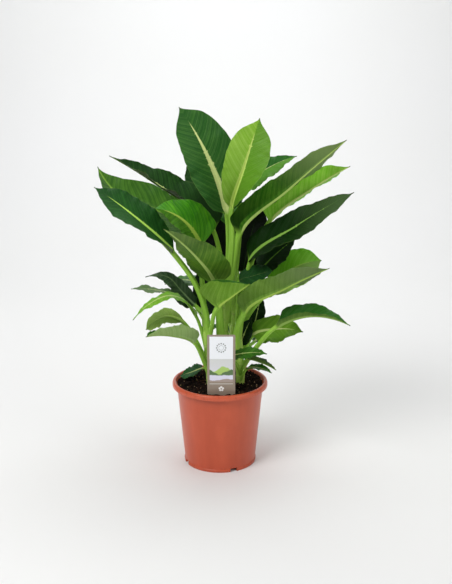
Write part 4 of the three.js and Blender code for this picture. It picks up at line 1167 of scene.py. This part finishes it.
def pebble(rings=4, sides=6):
    """A unit ball of few faces: its points, its quads and a strip across each pole."""
    tilt = np.linspace(0.18, np.pi - 0.18, rings)[:, None]
    angle = np.linspace(0, 2 * np.pi, sides, endpoint=False)[None]
    ball = np.stack([np.sin(tilt) * np.cos(angle), np.sin(tilt) * np.sin(angle),
                     -np.cos(tilt) + 0 * angle], -1)
    return ball.reshape(-1, 3), sleeve_faces(rings, sides, "strip")


def scatter(name, count, sizes, stretch, seed, sink=0.35):
    """Many pebbles: each is the unit ball with every point moved, stretched and turned.

    A pebble that would lie before the label's foot goes to the far side of the pot.
    """
    random = np.random.default_rng(seed)
    ball, quads = pebble()
    spread = np.sqrt(random.random(count)) * (SOIL_RADIUS - 2.5)
    way = random.random(count) * 2 * np.pi
    x = spread * np.cos(way)
    y = spread * np.sin(way)
    y = np.where((abs(x - CLEAR_MIDDLE) < CLEAR_HALF) & (y < CLEAR_FROM), -y, y)
    size = random.uniform(0, 1, count) ** 2.2 * (sizes[1] - sizes[0]) + sizes[0]
    rough = 1 + random.normal(0, 0.16, (count, len(ball), 1))
    shape = ball[None] * rough * random.uniform(0.6, 1, (count, 1, 3)) * np.array(stretch)
    turn = random.random(count) * 2 * np.pi
    tip = random.normal(0, 0.35, count)
    cos, sin = np.cos(turn)[:, None], np.sin(turn)[:, None]
    tilted = shape[..., 2] + tip[:, None] * shape[..., 0]
    px = shape[..., 0] * cos - shape[..., 1] * sin
    py = shape[..., 0] * sin + shape[..., 1] * cos
    z = soil_height(x, y) + size * (1 - sink) * 0.5
    points = np.stack([px, py, tilted], -1) * size[:, None, None] * 0.5
    points = points + np.stack([x, y, z], -1)[:, None]
    faces = quads[None] + (np.arange(count) * len(ball))[:, None, None]
    notes = {"tone": np.repeat(random.random(count), len(ball))}
    return mesh_object(name, points, faces.reshape(-1, 4), notes, sharp=30)


bed = make_bed()
crumbs = scatter("soil_crumbs", CRUMBS, (0.8, 5.2), (1, 1, 0.8), 11)
bark = scatter("soil_bark", BARK_BITS, (3, 8), (1.5, 0.45, 0.35), 12, sink=0.2)
print("soil crumbs:", CRUMBS + BARK_BITS)

# %% Peat
def peat_material(name, loose):
    """Near black when damp, brown where dry. Loose bits each have a tone, and a few are pale."""
    shade = Shade(name)
    spot = shade.place()
    cloud = shade.noise(spot, 60, 5, 0.7)
    grain = shade.noise(spot, 900, 4, 0.7)
    body = shade.blend(cloud.ramp(0.35, 0.7), colour(10, 5, 3), colour(36, 21, 15))
    body = shade.blend(grain.ramp(0.6, 0.72) * 0.5, body, colour(70, 46, 32))
    if loose:
        tone = shade.note("tone")
        body = shade.coats(body, (tone.ramp(0.5, 0.95) * 0.6, colour(82, 54, 38)),
                           (tone.ramp(0.94, 0.97), colour(168, 142, 108)))
    normal = shade.bump(grain * 0.5 + cloud * 0.4)
    return shade.finish(shade.surface(body, 0.88 + grain * 0.1, normal, Specular_IOR_Level=0.15))


dress(bed, peat_material("damp peat", False), "soil", "soil")
dress(crumbs, peat_material("peat crumbs", True), "soil", "soil")
dress(bark, peat_material("bark bits", True), "soil", "soil")
print("soil pieces dressed:", bed.name, crumbs.name, bark.name)

# %% [markdown]
# ## The label
#
# A plant label is a thin printed card that stands in the soil on a stake. The
# card is a sheet whose half width depends on the height, with its two faces
# joined by a rim, and it bows by half a millimetre. Its print is a plain design
# of its own: a taupe frame, a white panel with a ring of dots, a soft panel
# with hills and a lake, and a small flower with five petals.

# %% The label's shape
TAG_WIDTH = 53.8
TAG_TOP = 287
TAG_SHOULDER = 168
TAG_TIP = 96
TAG_STAKE_WIDTH = 20
TAG_POINT = 18  # height of the stake's pointed end
TAG_SLANT = 16  # height of the slanted shoulder
TAG_BOW = 0.5
TAG_THICKNESS = 0.8
TAG_CORNER = 2.5
TAG_X = 2.9
TAG_Y = -74


def make_tag(rows=150, columns=24):
    """Half width = a point, a straight stake, a slanted shoulder, then the card.

    Bow = half a millimetre * (1 - (distance across / half width) squared), on the card only.
    """
    even = np.linspace(TAG_TIP, TAG_TOP - TAG_CORNER, rows)
    top = TAG_TOP - TAG_CORNER + TAG_CORNER * np.sin(np.linspace(0.1, 1, 10) * np.pi / 2)
    z = np.concatenate([even, top])
    half = np.interp(z, [TAG_TIP, TAG_TIP + TAG_POINT, TAG_SHOULDER - TAG_SLANT, TAG_SHOULDER],
                     [0.3, TAG_STAKE_WIDTH / 2, TAG_STAKE_WIDTH / 2, TAG_WIDTH / 2])
    over = np.clip((z - (TAG_TOP - TAG_CORNER)) / TAG_CORNER, 0, 1)
    half = half - TAG_CORNER * (1 - np.sqrt(1 - over**2))
    u = np.sin(np.linspace(-1, 1, columns) * np.pi / 2)
    x = half[:, None] * u
    bow = TAG_BOW * (1 - (x / (TAG_WIDTH / 2)) ** 2) * smooth(z, 150, 200)[:, None] - TAG_BOW / 2
    rim = TAG_THICKNESS / 2 * (1 - 0.3 * smooth(abs(u), 0.97, 1))[None]
    front = np.stack([x, -bow - rim, z[:, None] + 0 * x], -1)
    back = np.stack([x, -bow + rim, z[:, None] + 0 * x], -1)
    points = np.concatenate([back, front[:, ::-1]], axis=1)[:, ::-1]
    points = points + np.array([TAG_X, TAG_Y, 0])
    faces = sleeve_faces(len(z), 2 * columns, "strip")
    return mesh_object("fine_label", points, faces, None, sharp=40)


# %% The label's print
PANEL_HALF = 22.4  # half width of the printed panels
PANEL_EDGES = (192, 238.5, 283.4)  # foot of the landscape, its top, and the top of the white panel
DOTS_AT = 261  # height of the middle of the ring of dots
RULE_EDGES = (187.6, 188.8)
FLOWER_AT = 178


def landscape(shade, x, z):
    """Sky, far hills, near hills, a lake and a shore. Each edge is a height that waves with x."""
    haze = shade.noise(shade.place((1000, 1000, 1000)), 0.09, 4) - 0.5
    far_hill = 219 + (x * 0.16 + 0.8).sine() * 4.5 + haze * 8
    near_hill = 213 + (x * 0.14 - 1.2).sine() * 4.5 + haze * 14
    lake = 206 + haze * 6
    shore = 196.5 + (x * 0.12).sine() * 1.6 + haze * 5
    return shade.coats(
        shade.blend((z - 196).ramp(0, 42), colour(226, 226, 238), colour(214, 216, 214)),
        ((far_hill - z).ramp(-1.2, 1.2), colour(170, 204, 104)),
        ((near_hill - z).ramp(-0.8, 0.8), colour(86, 116, 70)),
        ((lake - z).ramp(-0.8, 0.8), colour(222, 222, 240)),
        ((shore - z).ramp(-0.5, 0.5), colour(168, 152, 142)),
    )


def tag_material():
    """Printed card. Each shape is a mask worked out from the place on the card."""
    shade = Shade("printed card")
    spot = shade.place((1000, 1000, 1000))
    x, y, z = (shade.node("SeparateXYZ", None, {"Vector": spot}, output=i) for i in range(3))
    x, y = x - TAG_X, y - TAG_Y
    fibre = shade.noise(spot, 0.9, 4)

    def block(half, low, high):
        """A rectangle: 1 inside, 0 outside, soft at its edges."""
        soft = 0.12
        sides = (x + half).ramp(-soft, soft) * (x - half).ramp(soft, -soft)
        return sides * (z - low).ramp(-soft, soft) * (z - high).ramp(soft, -soft)

    def disc(at_x, at_z, radius, soft):
        """A round spot: 1 inside, 0 outside, soft at its edge."""
        far = ((x - at_x) ** 2 + (z - at_z) ** 2) ** 0.5
        return (far - radius).ramp(soft, -soft)

    def wreath(count, radius, at_z, size, soft, tone):
        """Equal spots on a circle, as coats of one colour."""
        turns = np.arange(count) * 2 * np.pi / count
        return [(disc(radius * np.sin(a), at_z + radius * np.cos(a), size, soft), tone) for a in turns]

    foot, middle, top = PANEL_EDGES
    far = (x**2 + (z - DOTS_AT) ** 2) ** 0.5
    print_colour = shade.coats(
        shade.blend(fibre * 0.2, colour(150, 136, 120), colour(138, 124, 108)),
        (block(PANEL_HALF, middle, top), colour(244, 247, 251)),
        (block(PANEL_HALF, foot, middle), landscape(shade, x, z)),
        *wreath(12, 8.5, DOTS_AT, 1.5, 0.15, colour(142, 148, 146)),
        ((abs(far - 4.6) - 0.35).ramp(0.2, -0.2), colour(156, 160, 158)),
        (block(PANEL_HALF, *RULE_EDGES) * 0.8, colour(230, 228, 222)),
        *wreath(5, 3.4, FLOWER_AT, 2.1, 0.3, colour(244, 243, 239)),
        (y.ramp(0.1, 0.5), colour(236, 235, 231)),
        (z.ramp(TAG_SHOULDER + 1, TAG_SHOULDER) * 0.6, colour(150, 136, 120)),
    )
    normal = shade.bump(fibre * 0.05)
    return shade.finish(shade.surface(print_colour, 0.38 + fibre * 0.1, normal,
                                      Coat_Weight=0.2, Coat_Roughness=0.25))


tag = make_tag()
dress(tag, tag_material(), "label", "tag")
print("label:", TAG_WIDTH, "x", TAG_TOP - TAG_SHOULDER, "mm of card")

# %% [markdown]
# ## The studio
#
# The photograph was taken on a pale sweep of paper under large soft lights. A
# curved sheet serves as floor and background, so there is no horizon. Of four
# square lights, the key hangs in front to the left and a weak one fills from the
# right. One stands over the plant for the upper sides of its leaves, and one is
# turned to the paper behind it. A pale sky lifts the shadows.

# %% The paper sweep
def make_sweep():
    """Depth and height follow a floor, a quarter circle and a wall; x is straight."""
    bend = np.linspace(0, np.pi / 2, 24)
    depth = np.concatenate([[-4000], 1400 + 1200 * np.sin(bend), [2600]])
    height = np.concatenate([[0], 1200 - 1200 * np.cos(bend), [4200]])
    x = np.linspace(-4000, 4000, 9)
    points = np.stack(np.broadcast_arrays(x[None], depth[:, None], height[:, None]), -1)
    i, j = np.meshgrid(np.arange(len(depth) - 1), np.arange(len(x) - 1), indexing="ij")
    here = (i * len(x) + j).ravel()
    faces = np.stack([here, here + 1, here + 1 + len(x), here + len(x)], -1)
    return mesh_object("paper_sweep", points, faces)


def sweep_material():
    """Matt paper, a touch uneven."""
    shade = Shade("studio paper")
    cloud = shade.noise(shade.place(), 1.2, 2)
    body = shade.blend(cloud, colour(232, 232, 230), colour(235, 235, 235))
    return shade.finish(shade.surface(body, 0.9))


sweep = make_sweep()
sweep.data.materials.append(sweep_material())
sweep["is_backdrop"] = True
print("faces in the paper:", len(sweep.data.polygons))

# %% Soft lights
def soft_light(name, place, target, size, power, tint=(1, 1, 1)):
    """A square area light that looks at a target."""
    data = bpy.data.lights.new(name, "AREA")
    data.shape = "SQUARE"
    data.size = size
    data.energy = power
    data.color = tint
    lamp = bpy.data.objects.new(name, data)
    lamp.location = place
    lamp.rotation_euler = (Vector(target) - Vector(place)).to_track_quat("-Z", "Y").to_euler()
    scene.collection.objects.link(lamp)


soft_light("key", (-1.3, -1.5, 2.1), (0, 0, 0.35), 1.3, 44)
soft_light("fill", (1.8, -1.2, 1.2), (0, 0, 0.35), 1.2, 8)
soft_light("top", (0.3, 0.5, 2.6), (0, 0, 0.3), 1.6, 24)
soft_light("wall", (0, 1.3, 2.1), (0, 2.3, 1.15), 1.4, 18, (0.95, 0.975, 1))
world = bpy.data.worlds.new("studio")
scene.world = world
world.use_nodes = True
world.node_tree.nodes["Background"].inputs["Color"].default_value = (1, 1, 1, 1)
world.node_tree.nodes["Background"].inputs["Strength"].default_value = 0.3
scene.view_settings.view_transform = "Standard"

# %% [markdown]
# ## Sizes, compared
#
# The finer surfaces must stay the size of the solids, so both boxes are kept.

# %% The boxes and the end
visual_box = [list(corner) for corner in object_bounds()]
grown = np.abs(np.array(visual_box) - np.array(cad_box)).max() * 1000
print("largest difference of the two boxes:", round(float(grown), 1), "mm")
